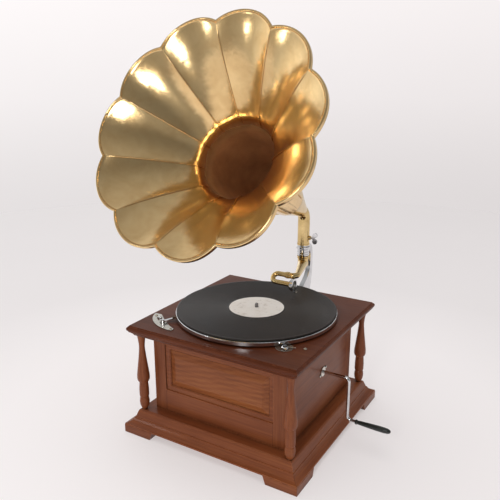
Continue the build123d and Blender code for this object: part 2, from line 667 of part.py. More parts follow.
def crank_rod():
    """Bent round bar: shaft, arm hanging down, pin for the grip."""
    y = CRANK_Y
    x = CRANK_PLANE_X
    b = CRANK_BEND
    low = CRANK_Z - CRANK_THROW
    body = rod((SHAFT_X1 - 14.0, y, CRANK_Z), (x - b, y, CRANK_Z), CRANK_R)
    body += bend((x - b, y, CRANK_Z), (1, 0, 0), (x - b, y, CRANK_Z - b), 90.0, CRANK_R)
    body += rod((x, y, CRANK_Z - b), (x, y, low + b), CRANK_R)
    body += bend((x, y, low + b), (0, 0, -1), (x + b, y, low + b), 90.0, CRANK_R)
    body += rod((x + b, y, low), (GRIP_X0, y, low), CRANK_R)
    body += rod((GRIP_X0, y, low), (GRIP_X1 - 6.0, y, low), CRANK_R - 1.0)
    return body


def crank_grip():
    """Turned grip with a small collar, thicker towards the free end."""
    low = CRANK_Z - CRANK_THROW
    length = GRIP_X1 - GRIP_X0
    profile = [(3.6, 0.0), (4.4, 0.6), (4.4, 3.4), (3.5, 4.2), (3.5, 5.2), (3.9, 10.0), (4.6, 24.0),
               (GRIP_R, 42.0), (GRIP_R, 54.0), (4.6, 61.0), (3.2, 64.6), (1.4, length)]
    body = turned(profile, 0.0, 0.0)
    body -= rod((0, 0, -1), (0, 0, length - 6.0 + 0.3), CRANK_R - 1.0 + RUN_FIT)
    place = Plane(origin=(GRIP_X0 + RUN_FIT, CRANK_Y, low), x_dir=(0, 1, 0), z_dir=(1, 0, 0))
    return place * body


# ---------------------------------------------------------------- turntable
def turntable():
    """Pressed disc with a turned-down rim and a hub on the spindle."""
    disc = rod((0, 0, PLATTER_RIM_LOW), (0, 0, PLATTER_TOP), PLATTER_R)
    disc = fillet(disc.edges().sort_by(Axis.Z)[-1], 1.2)
    disc -= rod((0, 0, PLATTER_RIM_LOW - 1), (0, 0, PLATTER_TOP - PLATTER_THICK), PLATTER_R - 2.0)
    hub = rod((0, 0, PLATTER_RIM_LOW), (0, 0, PLATTER_TOP - PLATTER_THICK), HUB_R)
    return disc + hub - rod((0, 0, PLATTER_RIM_LOW - 1), (0, 0, PLATTER_TOP + 1), SPINDLE_R)


def felt_mat():
    """Felt mat glued to the platter."""
    body = rod((0, 0, PLATTER_TOP), (0, 0, PLATTER_TOP + MAT_THICK), MAT_R)
    return body - rod((0, 0, PLATTER_TOP - 1), (0, 0, PLATTER_TOP + 3), SPINDLE_R)


def record_disc():
    """Shellac record with a raised lip and a stepped dead wax band."""
    z0 = PLATTER_TOP + MAT_THICK
    top = z0 + RECORD_THICK
    body = rod((0, 0, z0), (0, 0, top), RECORD_R)
    body = chamfer(body.edges(), 0.5)
    groove = rod((0, 0, top - 0.25), (0, 0, top + 1), LABEL_R + 6.0) - rod((0, 0, top - 1), (0, 0, top + 2),
                                                                           LABEL_R + 0.5)
    return body - groove - rod((0, 0, z0 - 1), (0, 0, top + 1), SPINDLE_R)


def record_label():
    """Plain paper label."""
    top = PLATTER_TOP + MAT_THICK + RECORD_THICK
    disc = rod((0, 0, top), (0, 0, top + LABEL_THICK), LABEL_R)
    return disc - rod((0, 0, top - 1), (0, 0, top + 1), SPINDLE_R)


# ---------------------------------------------------------------- brake and regulator on the top board
def brake_plate():
    """Crescent plate screwed to the front left corner."""
    outer = Spline((-163.5, -100.0), (-157.5, -115.0), (-143.0, -132.0), (-120.0, -145.5), (-88.0, -150.0))
    inner = Spline((-88.0, -142.0), (-104.0, -134.0), (-122.0, -122.0), (-140.0, -107.0), (-150.0, -99.0))
    end_a = Line(outer @ 1, inner @ 0)
    end_b = Line(inner @ 1, outer @ 0)
    face = make_face([outer, end_a, inner, end_b])
    body = Location((0, 0, TOP_Z)) * extrude(face, 1.2)
    slot = Location((-141.0, -119.5, TOP_Z)) * Rot(0, 0, -42) * extrude(SlotOverall(15.0, 3.4), 3)
    return body - slot


def brake_lever():
    """Hinged lever with a finger end, carrying the pad that bears on the platter rim."""
    px, py = BRAKE_PIVOT
    a = math.radians(BRAKE_TIP_ANGLE)
    reach = PLATTER_R + 6.0
    tip = (reach * math.cos(a), reach * math.sin(a))
    body = flat_link((px, py), tip, 2.6, LEVER_Z, 2.0)
    tail = (px - 10.0, py + 6.0)
    body += flat_link((px, py), tail, 2.6, LEVER_Z, 2.0)
    body += Location((tail[0], tail[1], LEVER_Z + 3.6)) * Sphere(2.8)
    body += rod((px, py, TOP_Z + 1.2), (px, py, LEVER_Z), 3.4)
    body += rod((px, py, LEVER_Z), (px, py, LEVER_Z + 4.0), 3.2)
    return body


def brake_pad():
    """Leather pad riveted to the lever, hollowed to the platter rim."""
    a = math.radians(BRAKE_TIP_ANGLE)
    plane = Plane(origin=(0, 0, LEVER_Z + 2.0), x_dir=(math.cos(a), math.sin(a), 0), z_dir=(0, 0, 1))
    body = plane * Location((PLATTER_R + 3.2, 0, 1.5)) * Box(7.0, 7.0, 3.0)
    return body - rod((0, 0, LEVER_Z - 5), (0, 0, LEVER_Z + 9), PLATTER_R + RUN_FIT)


def brake_screws():
    """Screws at the two ends of the crescent plate."""
    z = TOP_Z + 1.2
    spots = [(-154.5, -108.5), (-93.5, -145.0)]
    return Compound(children=[screw(x, y, z, (0, 0, 1), 2.8, 1.8, 1.3, 9.0) for x, y in spots])


def speed_plate():
    """Thin round index plate under the regulator knob."""
    x, y = SPEED_PIVOT
    body = rod((x, y, TOP_Z), (x, y, TOP_Z + 1.0), 15.0)
    for k in range(5):
        a = math.radians(-10.0 + 22.5 * k)
        notch = Location((x + 13.2 * math.cos(a), y + 13.2 * math.sin(a), TOP_Z + 1.0))
        body -= notch * Rot(0, 0, math.degrees(a)) * Box(3.6, 0.8, 0.8)
    return body - rod((x, y, TOP_Z - 1), (x, y, TOP_Z + 2), 2.0 + RUN_FIT)


def speed_pointer():
    """Leaf-shaped regulator knob with a wire pointer and a cam below the board."""
    x, y = SPEED_PIVOT
    z0 = TOP_Z + 1.0 + RUN_FIT
    right = Spline((-3.6, 1.0), (1.0, 5.4), (8.0, 4.6), (15.0, 0.0))
    left = Spline((15.0, 0.0), (8.0, -4.6), (1.0, -5.4), (-3.6, -1.0))
    face = make_face([right, left, Line((-3.6, -1.0), (-3.6, 1.0))])
    leaf = extrude(face, 3.6)
    leaf = chamfer(leaf.edges().group_by(Axis.Z)[-1], 1.2)
    body = Location((x, y, z0)) * Rot(0, 0, -48.0) * leaf
    body += rod((x + 4.0, y + 1.0, z0 + 1.6), (x + 19.0, y + 4.0, z0 + 1.6), 0.6)
    disc_z = ROCKER_Z + LINK_THICK + SLOT_PLAY
    body += rod((x, y, disc_z), (x, y, z0 + 0.5), CAM_SHAFT_R)
    body += rod((x, y, disc_z), (x, y, disc_z + LINK_THICK), CAM_THROW + CAM_PIN_R + 0.4)
    pin = cam_place()
    body += rod((*pin, ROCKER_Z - SLOT_PLAY), (*pin, disc_z + 0.5), CAM_PIN_R)
    return body


def top_screw():
    """Round-headed screw near the right-hand edge of the top board."""
    return screw(148.6, -94.6, TOP_Z, (0, 0, 1), 3.0, 2.0, 1.5, 12.0)


def drive_screws(parts):
    """Cut every screw's seat out of the pieces it goes through."""
    seats = {"brake_screws": ("brake_plate", "top_board"), "top_screw": ("top_board",),
             "crank_screws": ("side_board_right",), "bracket_screws": ("back_bracket", "back_board")}
    for fastener, hosts in seats.items():
        for host in hosts:
            for solid in parts[fastener].solids():
                parts[host] = parts[host] - solid


# ---------------------------------------------------------------- horn support, tone arm, sound box
def back_bracket():
    """Cast bracket: pad on the case back, curved arm, ring and inner sleeve for arm and horn."""
    low = Spline((146.5, 148.0), (176.0, 152.0), (206.0, 172.0), (228.0, 204.0), (234.0, 240.0),
                 (234.0, 278.0), (228.0, 296.0), (206.0, 301.0))
    high = Spline((206.0, 290.0), (221.0, 284.0), (224.0, 262.0), (221.0, 240.0), (208.0, 224.0),
                  (193.0, 213.0), (183.0, 198.0), (170.0, 184.0), (146.5, 182.0))
    face = make_face([low, Line(low @ 1, high @ 0), high, Line(high @ 1, low @ 0)])
    upright = Plane(origin=(0, 0, 0), x_dir=(0, 1, 0), z_dir=(1, 0, 0))
    arm = upright * extrude(face, 5.0, both=True)
    pad = box(-24.0, 24.0, CASE_HALF, 147.0, 140.0, 190.0)
    pad = fillet(pad.edges().filter_by(Axis.Y), 8.0)
    ring = rod((0, PIVOT_Y, RING_LOW), (0, PIVOT_Y, RING_TOP), RING_R)
    ring += rod((0, PIVOT_Y, RING_TOP), (0, PIVOT_Y, SLEEVE_TOP), SLEEVE_R)
    for low_z, tall, swell in RING_BEADS:
        ring += bead(low_z, tall, RING_R, swell)
    body = pad + arm + ring
    return body - rod((0, PIVOT_Y, RING_LOW - 1), (0, PIVOT_Y, SLEEVE_TOP + 1), BORE_R)


def bracket_screws():
    """Four screws through the bracket pad."""
    spots = [(x, z) for x in (-17.0, 17.0) for z in (147.0, 183.0)]
    return Compound(children=[screw(x, 147.0, z, (0, 1, 0), 3.4, 2.4, 1.8, 20.0) for x, z in spots])


def bead(z0, tall, r, swell):
    """Turned bead with sloping shoulders on the arm's vertical axis."""
    shoulder = tall / 4
    body = rod((0, PIVOT_Y, z0), (0, PIVOT_Y, z0 + shoulder), r, r + swell)
    body += rod((0, PIVOT_Y, z0 + shoulder), (0, PIVOT_Y, z0 + tall - shoulder), r + swell)
    return body + rod((0, PIVOT_Y, z0 + tall - shoulder), (0, PIVOT_Y, z0 + tall), r + swell, r)


def arm_frames():
    """Key points of the tone arm centre line."""
    ex, ey = ARM_END
    length = math.hypot(ex, PIVOT_Y - ey)
    run = Vector(ex / length, (ey - PIVOT_Y) / length, 0)
    corner = Vector(ex, ey, ARM_Z)
    turn = math.degrees(math.acos(-run.X))
    cut = ARM_BEND * math.tan(math.radians(turn / 2)) * 0.75
    radius = cut / math.tan(math.radians(turn / 2))
    stop = corner - run * cut
    leave = corner + Vector(-1, 0, 0) * cut
    side = Vector(0, 0, 1).cross(run)
    centre = stop - side * radius
    if (centre - leave).length > (stop + side * radius - leave).length:
        centre = stop + side * radius
    return run, stop, leave, centre, turn


def arm_solid(root_r, knee_r, tip_r, top_z, shoulder_z):
    """Solid core of the tone arm: neck in the bracket, knee, taper and limb of the given radii."""
    run, stop, leave, centre, turn = arm_frames()
    knee = (0, PIVOT_Y, ARM_Z)
    body = rod((0, PIVOT_Y, top_z), (0, PIVOT_Y, shoulder_z), root_r)
    body += rod((0, PIVOT_Y, shoulder_z), knee, knee_r)
    body += rod(knee, (stop.X, stop.Y, stop.Z), knee_r, tip_r)
    body += bend((stop.X, stop.Y, stop.Z), (run.X, run.Y, 0), (centre.X, centre.Y, ARM_Z), turn, tip_r)
    body += rod((leave.X, leave.Y, ARM_Z), (LIMB_END_X, leave.Y, ARM_Z), tip_r)
    return body


def tone_arm():
    """Hollow tapering tone arm hung in the bracket sleeve by its top flange."""
    shoulder_z = RING_LOW - RUN_FIT
    outer = arm_solid(ARM_ROOT_R, ARM_KNEE_R, ARM_TIP_R, SLEEVE_TOP, shoulder_z)
    outer += Location((0, PIVOT_Y, ARM_Z)) * Sphere(ARM_KNEE_R + ARM_BALL)
    outer += rod((0, PIVOT_Y, SLEEVE_TOP), (0, PIVOT_Y, SLEEVE_TOP + 1.5), SLEEVE_R - 0.4)
    for low_z, swell in ARM_BEADS:
        outer += bead(low_z, ARM_BEAD_TALL, ARM_KNEE_R, swell)
    limb_y = ARM_END[1]
    outer += rod((LIMB_END_X, limb_y, ARM_Z), (LIMB_END_X + 5.0, limb_y, ARM_Z), ARM_TIP_R + 0.8)
    bore = GOOSE_R + RUN_FIT
    knee_bore = ARM_KNEE_R - ARM_WALL
    inner = arm_solid(ARM_ROOT_R - ARM_WALL, knee_bore, bore, SLEEVE_TOP + 2.0, shoulder_z - 2.0)
    inner += rod((LIMB_END_X + 6.0, limb_y, ARM_Z), (LIMB_END_X - 1.0, limb_y, ARM_Z), bore)
    return outer - inner


def goose_solid(r, reach_in, reach_out):
    """Solid core of the U-shaped gooseneck for a given radius."""
    top_y = ARM_END[1]
    mid = Vector(GOOSE_TURN_X, (top_y + BOX_Y) / 2, (ARM_Z + BOX_Z) / 2)
    body = rod((reach_in, top_y, ARM_Z), (GOOSE_TURN_X, top_y, ARM_Z), r)
    body += bend((GOOSE_TURN_X, top_y, ARM_Z), (-1, 0, 0), (mid.X, mid.Y, mid.Z), 180.0, r)
    body += rod((GOOSE_TURN_X, BOX_Y, BOX_Z), (reach_out, BOX_Y, BOX_Z), r)
    return body


def gooseneck():
    """Hollow U tube that turns in the end of the tone arm and carries the sound box."""
    outer = goose_solid(GOOSE_R, LIMB_END_X + 9.0, BOX_X0)
    outer += rod((LIMB_END_X - 3.2, ARM_END[1], ARM_Z), (LIMB_END_X - RUN_FIT, ARM_END[1], ARM_Z), ARM_TIP_R)
    outer += rod((BOX_X0 - 4.0, BOX_Y, BOX_Z), (BOX_X0, BOX_Y, BOX_Z), GOOSE_R + 1.6)
    return outer - goose_solid(GOOSE_R - GOOSE_WALL, LIMB_END_X + 10.0, BOX_X0 + 1.0)


def sound_box_back():
    """Back plate of the sound box with the tube opening."""
    body = rod((BOX_X0, BOX_Y, BOX_Z), (BOX_X0 + 1.8, BOX_Y, BOX_Z), BOX_R - 1.0)
    return body - rod((BOX_X0 - 1, BOX_Y, BOX_Z), (BOX_X0 + 3, BOX_Y, BOX_Z), GOOSE_R - GOOSE_WALL)


def sound_box_case():
    """Ring-shaped case, open in front, that grips the diaphragm."""
    x0 = BOX_X0 + 1.8
    x1 = BOX_X0 + BOX_DEPTH
    body = rod((x0, BOX_Y, BOX_Z), (x1, BOX_Y, BOX_Z), BOX_R)
    body -= rod((x0 - 1, BOX_Y, BOX_Z), (x1 + 1, BOX_Y, BOX_Z), BOX_R - 3.2)
    body -= rod((x0 + 1.4, BOX_Y, BOX_Z), (x0 + 2.0, BOX_Y, BOX_Z), BOX_R - 2.0)
    foot_z = BOX_Z - BOX_R
    lug = box(x0 + 0.4, x1, BOX_Y - 4.0, BOX_Y + 4.0, foot_z - 0.6, foot_z + 1.8)
    return body + lug


def diaphragm():
    """Mica disc held in the case groove."""
    x0 = BOX_X0 + 1.8 + 1.4
    return rod((x0, BOX_Y, BOX_Z), (x0 + 0.6, BOX_Y, BOX_Z), BOX_R - 2.0)


def needle_bar():
    """Stylus bar from the chuck at the foot of the case to the middle of the diaphragm."""
    x_face = BOX_X0 + BOX_DEPTH
    foot_z = BOX_Z - BOX_R
    body = box(x_face, x_face + 1.4, BOX_Y - 1.0, BOX_Y + 1.0, foot_z - 0.6, BOX_Z + 1.0)
    body += rod((x_face - 3.2, BOX_Y, BOX_Z), (x_face + 1.4, BOX_Y, BOX_Z), 0.8)
    x = x_face + 0.7
    low = foot_z - 0.6 - CHUCK_LENGTH
    body += rod((x, BOX_Y, low), (x, BOX_Y, foot_z - 0.6), CHUCK_R)
    return body - rod((x, BOX_Y, low - 1), (x, BOX_Y, low + 2.0), NEEDLE_R)


def needle_screw():
    """Thumb screw that clamps the needle."""
    x_face = BOX_X0 + BOX_DEPTH
    x = x_face + 0.7 + CHUCK_R
    z = BOX_Z - BOX_R - 2.0
    body = rod((x, BOX_Y, z), (x + 2.2, BOX_Y, z), 0.7)
    return body + rod((x + 2.2, BOX_Y, z), (x + 4.2, BOX_Y, z), 1.8)


def needle():
    """Steel needle reaching just above the record."""
    x = BOX_X0 + BOX_DEPTH + 0.7
    low = BOX_Z - BOX_R - 0.6 - CHUCK_LENGTH
    shank = rod((x, BOX_Y, low + 2.0), (x, BOX_Y, low - 1.0), NEEDLE_R)
    return shank + rod((x, BOX_Y, low - 1.0), (x, BOX_Y, NEEDLE_TIP_Z), NEEDLE_R, 0.12)


def thumb_screw():
    """Wing screw that clamps the horn elbow on the bracket sleeve."""
    z = THUMB_Z
    body = rod((SLEEVE_R, PIVOT_Y, z), (THUMB_NECK, PIVOT_Y, z), THUMB_R)
    middle = THUMB_NECK + WING_EAR_R
    body += box(THUMB_NECK, middle, PIVOT_Y - WING_THICK / 2, PIVOT_Y + WING_THICK / 2, z - 5.0, z + 5.0)
    for rise in (-WING_EAR_RISE, WING_EAR_RISE):
        body += Location((middle, PIVOT_Y, z + rise)) * Rot(90, 0, 0) * Cylinder(WING_EAR_R, WING_THICK)
    return body


# ---------------------------------------------------------------- horn
def horn_frame():
    """Plane whose Z runs along the horn axis from the elbow corner to the mouth."""
    a = math.radians(HORN_PITCH)
    return Plane(origin=(0, PIVOT_Y, ELBOW_CORNER_Z), x_dir=(1, 0, 0), z_dir=(0, -math.cos(a), math.sin(a)))


def elbow_solid(r, end_r):
    """Solid core of the elbow for given tube and mouth radii."""
    frame = horn_frame()
    turn = 90.0 - HORN_PITCH
    cut = ELBOW_BEND * math.tan(math.radians(turn / 2))
    start = (0, PIVOT_Y, ELBOW_CORNER_Z - cut)
    body = rod((0, PIVOT_Y, RING_TOP), start, r)
    body += bend(start, (0, 0, 1), (0, PIVOT_Y - ELBOW_BEND, ELBOW_CORNER_Z - cut), turn, r)
    p = frame.origin + frame.z_dir * cut
    q = frame.origin + frame.z_dir * NECK_S
    body += rod((p.X, p.Y, p.Z), (q.X, q.Y, q.Z), r, end_r)
    return body


def horn_elbow():
    """Hollow elbow: straight socket over the sleeve, bend, cone that meets the bell."""
    outer = elbow_solid(ELBOW_R, NECK_R)
    boss = rod((ELBOW_R - 2.0, PIVOT_Y, THUMB_Z), (ELBOW_R + 4.0, PIVOT_Y, THUMB_Z), 4.4)
    bead = rod((0, PIVOT_Y, RING_TOP), (0, PIVOT_Y, RING_TOP + 3.0), ELBOW_R + 0.7)
    inner = elbow_solid(ELBOW_R - ELBOW_WALL, NECK_R - HORN_WALL)
    frame = horn_frame()
    tip = frame.origin + frame.z_dir * NECK_S
    past = frame.origin + frame.z_dir * (NECK_S + 2.0)
    inner += rod((tip.X, tip.Y, tip.Z), (past.X, past.Y, past.Z), NECK_R - HORN_WALL)
    inner += rod((0, PIVOT_Y, RING_TOP - 1.0), (0, PIVOT_Y, RING_TOP + 1.0), ELBOW_R - ELBOW_WALL)
    hole = rod((0, PIVOT_Y, THUMB_Z), (30.0, PIVOT_Y, THUMB_Z), THUMB_R + RUN_FIT)
    return outer + boss + bead - inner - hole


def petal_crown(inset):
    """Arc of one petal's free edge, from notch to notch through the crown."""
    start = math.radians(NOTCH_PHASE)
    step = ROUND / PETALS
    points = []
    for r, a in ((NOTCH_R, start), (LOBE_R, start - step / 2), (NOTCH_R, start - step)):
        points.append(((r - inset) * math.cos(a), (r - inset) * math.sin(a)))
    return ThreePointArc(*points)


def bell_shell():
    """Flared round shell of the bell about Z, not yet cut into petals."""
    outer = [(r, s) for s, r in BELL_CURVE]
    inner = []
    for i, (s, r) in enumerate(BELL_CURVE):
        s0, r0 = BELL_CURVE[max(i - 1, 0)]
        s1, r1 = BELL_CURVE[min(i + 1, len(BELL_CURVE) - 1)]
        span = math.hypot(s1 - s0, r1 - r0)
        inner.append((r - HORN_WALL * (s1 - s0) / span, s + HORN_WALL * (r1 - r0) / span))
    inner[0] = (NECK_R - HORN_WALL, NECK_S)
    out_curve = Spline([(r, 0.0, s) for r, s in outer])
    in_curve = Spline([(r, 0.0, s) for r, s in reversed(inner)])
    cap_a = Line(out_curve @ 1, in_curve @ 0)
    cap_b = Line(in_curve @ 1, out_curve @ 0)
    return revolve(make_face([out_curve, cap_a, in_curve, cap_b]), axis=Axis.Z)


def horn_petals():
    """Eleven equal flared petals seamed edge to edge, each with its share of the rolled rim."""
    mouth_s = BELL_CURVE[-1][0]
    edge = petal_crown(0.0)
    sector = make_face([Line((0, 0), edge @ 0), edge, Line(edge @ 1, (0, 0))])
    inside = petal_crown(RIM_WIDTH)
    band = make_face([edge, Line(edge @ 1, inside @ 1), inside, Line(inside @ 0, edge @ 0)])
    petal = bell_shell() & extrude(sector, mouth_s + RIM_DEPTH)
    petal += Location((0, 0, mouth_s - RIM_DEPTH)) * extrude(band, RIM_DEPTH)
    frame = horn_frame()
    solids = []
    for k in range(PETALS):
        solids.append(frame * (Rot(0, 0, -360.0 * k / PETALS) * petal))
    return Compound(children=solids)


# ---------------------------------------------------------------- build
def corner_name(sx, sy):
    """Readable corner name."""
    return ("front" if sy < 0 else "back") + "_" + ("left" if sx < 0 else "right")


def all_parts():
    """Every node by name."""
    counter, counter_turn = counter_shaft()
    parts = {
        "plinth": plinth(),
        "bottom_board": bottom_board(),
        "front_frame": front_frame(),
        "front_field": front_field(),
        "side_board_right": side_board(1),
        "side_board_left": side_board(-1),
        "back_board": back_board(),
        "top_board": top_board(),
        "motor_plate_upper": motor_plate(CASE_TOP_Z - PLATE_THICK, True),
        "motor_plate_lower": motor_plate(PLATE_LOW_Z, False),
        "motor_pillars": motor_pillars(),
        "spring_barrel": spring_barrel(),
        "mainspring": mainspring(),
        "winding_arbor": winding_arbor(),
        "winding_shaft": winding_shaft(),
        "winding_bearing": winding_bearing(),
        "counter_shaft": counter,
        "spindle": spindle(counter_turn),
        "governor_shaft": governor_shaft(),
        "governor_springs": governor_springs(),
        "governor_weights": governor_weights(),
        "governor_bearings": governor_bearings(),
        "speed_rocker": speed_rocker(),
        "crank_bush": crank_bush(),
        "crank_screws": crank_screws(),
        "crank_rod": crank_rod(),
        "crank_grip": crank_grip(),
        "turntable": turntable(),
        "felt_mat": felt_mat(),
        "record_disc": record_disc(),
        "record_label": record_label(),
        "brake_plate": brake_plate(),
        "brake_lever": brake_lever(),
        "brake_pad": brake_pad(),
        "brake_screws": brake_screws(),
        "speed_plate": speed_plate(),
        "speed_pointer": speed_pointer(),
        "top_screw": top_screw(),
        "back_bracket": back_bracket(),
        "bracket_screws": bracket_screws(),
        "tone_arm": tone_arm(),
        "gooseneck": gooseneck(),
        "sound_box_back": sound_box_back(),
        "sound_box_case": sound_box_case(),
        "diaphragm": diaphragm(),
        "needle_bar": needle_bar(),
        "needle_screw": needle_screw(),
        "needle": needle(),
        "thumb_screw": thumb_screw(),
        "horn_elbow": horn_elbow(),
        "horn_petals": horn_petals(),
    }
    for sx in (-1, 1):
        for sy in (-1, 1):
            parts["foot_" + corner_name(sx, sy)] = foot(sx, sy)
            parts["column_" + corner_name(sx, sy)] = column(sx, sy)
    drive_screws(parts)
    return parts


for node, shape in all_parts().items():
    export_step(shape, "parts/" + node + ".step")
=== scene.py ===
"""Looks of a wind-up phonograph with a petal horn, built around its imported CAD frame."""
import math

import bpy
import numpy as np
from mathutils import Matrix, Vector

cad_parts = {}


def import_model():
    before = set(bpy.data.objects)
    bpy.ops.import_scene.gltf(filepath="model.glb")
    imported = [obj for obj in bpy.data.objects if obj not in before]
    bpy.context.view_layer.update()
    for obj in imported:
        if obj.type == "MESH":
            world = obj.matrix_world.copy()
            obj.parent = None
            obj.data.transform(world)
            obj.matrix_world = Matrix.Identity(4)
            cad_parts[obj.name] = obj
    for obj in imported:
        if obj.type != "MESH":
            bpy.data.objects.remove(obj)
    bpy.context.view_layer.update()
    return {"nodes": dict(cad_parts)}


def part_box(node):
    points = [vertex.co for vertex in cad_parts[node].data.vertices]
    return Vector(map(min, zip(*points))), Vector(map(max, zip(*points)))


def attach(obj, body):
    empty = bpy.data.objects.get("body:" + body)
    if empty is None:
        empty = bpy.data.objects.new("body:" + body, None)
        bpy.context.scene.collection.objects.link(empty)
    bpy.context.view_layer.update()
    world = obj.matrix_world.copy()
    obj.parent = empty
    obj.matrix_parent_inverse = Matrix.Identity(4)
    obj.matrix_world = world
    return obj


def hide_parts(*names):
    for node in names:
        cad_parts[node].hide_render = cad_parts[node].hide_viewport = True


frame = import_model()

NODES = frame["nodes"]
MM = 0.001
CREVICE_SAMPLES = 6
EDGE_SAMPLES = 4


# ---------------------------------------------------------------- material kit
def fill_ramp(ramp, stops):
    """Set a colour ramp's stops; a stop is (place, colour) or (place, grey)."""
    while len(ramp.elements) < len(stops):
        ramp.elements.new(0.5)
    for element, (place, colour) in zip(ramp.elements, stops):
        element.position = place
        rgb = colour if hasattr(colour, "__len__") else (colour,) * 3
        element.color = (*rgb, 1)


class Recipe:
    """One procedural material built round a Principled shader."""

    def __init__(self, name):
        self.material = bpy.data.materials.new(name)
        self.material.use_nodes = True
        self.tree = self.material.node_tree
        self.shader = self.tree.nodes["Principled BSDF"]
        self.place = self.node("ShaderNodeTexCoord").outputs["Object"]

    def node(self, kind, **settings):
        """A new node with the given settings."""
        made = self.tree.nodes.new(kind)
        for key, value in settings.items():
            setattr(made, key, value)
        return made

    def feed(self, socket, value):
        """Link an output to a socket, or set the socket's own value."""
        if isinstance(value, bpy.types.NodeSocket):
            self.tree.links.new(value, socket)
        else:
            socket.default_value = value

    def set(self, **values):
        """Set or link sockets of the shader by their names, with _ for a space."""
        for key, value in values.items():
            self.feed(self.shader.inputs[key.replace("_", " ")], value)

    def math(self, operation, a, b=0.0, clamp=False):
        """A Math node's output."""
        made = self.node("ShaderNodeMath", operation=operation, use_clamp=clamp)
        self.feed(made.inputs[0], a)
        self.feed(made.inputs[1], b)
        return made.outputs[0]

    def mapped(self, scale=(1, 1, 1), shift=(0, 0, 0), turn=(0, 0, 0)):
        """Object coordinates, moved, turned and stretched."""
        made = self.node("ShaderNodeMapping")
        self.feed(made.inputs["Vector"], self.place)
        made.inputs["Location"].default_value = shift
        made.inputs["Rotation"].default_value = [math.radians(a) for a in turn]
        made.inputs["Scale"].default_value = scale
        return made.outputs[0]

    def noise(self, vector, scale, detail=4.0, roughness=0.55, distortion=0.0):
        """Noise texture value."""
        made = self.node("ShaderNodeTexNoise")
        self.feed(made.inputs["Vector"], vector)
        made.inputs["Scale"].default_value = scale
        made.inputs["Detail"].default_value = detail
        made.inputs["Roughness"].default_value = roughness
        made.inputs["Distortion"].default_value = distortion
        return made.outputs["Fac"]

    def ramp(self, value, *stops):
        """Colour ramp with the given stops."""
        made = self.node("ShaderNodeValToRGB")
        self.feed(made.inputs[0], value)
        fill_ramp(made.color_ramp, stops)
        return made.outputs[0]

    def mix(self, share, a, b, blend="MIX"):
        """Colour mix of a and b."""
        made = self.node("ShaderNodeMix", data_type="RGBA", blend_type=blend)
        self.feed(made.inputs[0], share)
        self.feed(made.inputs[6], (*a, 1) if isinstance(a, tuple) else a)
        self.feed(made.inputs[7], (*b, 1) if isinstance(b, tuple) else b)
        return made.outputs[2]

    def axes(self):
        """The three object coordinates."""
        made = self.node("ShaderNodeSeparateXYZ")
        self.feed(made.inputs[0], self.place)
        return made.outputs

    def bump(self, height, distance, strength=1.0, before=None):
        """Bump of a height in metres."""
        made = self.node("ShaderNodeBump")
        made.inputs["Strength"].default_value = strength
        made.inputs["Distance"].default_value = distance
        self.feed(made.inputs["Height"], height)
        if before is not None:
            self.feed(made.inputs["Normal"], before)
        return made.outputs[0]

    def crevice(self, reach):
        """1 in the open, falling towards 0 in inner corners."""
        made = self.node("ShaderNodeAmbientOcclusion", samples=CREVICE_SAMPLES)
        made.inputs["Distance"].default_value = reach
        return made.outputs["AO"]

    def edges(self, radius):
        """0 on flat faces, rising towards 1 along sharp edges."""
        soft = self.node("ShaderNodeBevel", samples=EDGE_SAMPLES)
        soft.inputs["Radius"].default_value = radius
        plain = self.node("ShaderNodeNewGeometry")
        dot = self.node("ShaderNodeVectorMath", operation="DOT_PRODUCT")
        self.feed(dot.inputs[0], soft.outputs[0])
        self.feed(dot.inputs[1], plain.outputs["Normal"])
        return self.math("SUBTRACT", 1.0, dot.outputs["Value"], clamp=True)


# ---------------------------------------------------------------- wood
MAHOGANY = ((0.115, 0.024, 0.007), (0.232, 0.065, 0.021), (0.335, 0.115, 0.038))
FIELD = ((0.125, 0.028, 0.007), (0.270, 0.080, 0.023), (0.400, 0.148, 0.046))
DARK_TOP = ((0.048, 0.010, 0.003), (0.112, 0.027, 0.009), (0.180, 0.052, 0.020))
GRAIN_TURN = {"X": (0, 0, 0), "Y": (0, 0, 90), "Z": (0, 90, 0)}
GROWTH = {"Scale": 34.0, "Detail": 3.0, "Detail Scale": 0.45, "Detail Roughness": 0.55}
STREAK_STRETCH = (4, 190)
CLOUD_STRETCH = (6, 14)
PORE_STRETCH = (12.0, 900.0)
STREAK_SHARE = 0.5
CLOUD_SHARE = 0.52
PORE_DEPTH = 0.22
JOINT_HALF = 0.0003
JOINT_COLOUR = (0.018, 0.006, 0.003)
# reach of the painted shade in the wood's corners
CORNER_SHADE_REACH = 0.014
WORN_EDGE = 0.0016
WORN_LIGHTER = 1.8
VARNISH_BUMP = 0.0002


def along(grain, length, across):
    """Coordinate scales that draw a pattern out along the grain."""
    return tuple(length if axis == grain else across for axis in "XYZ")


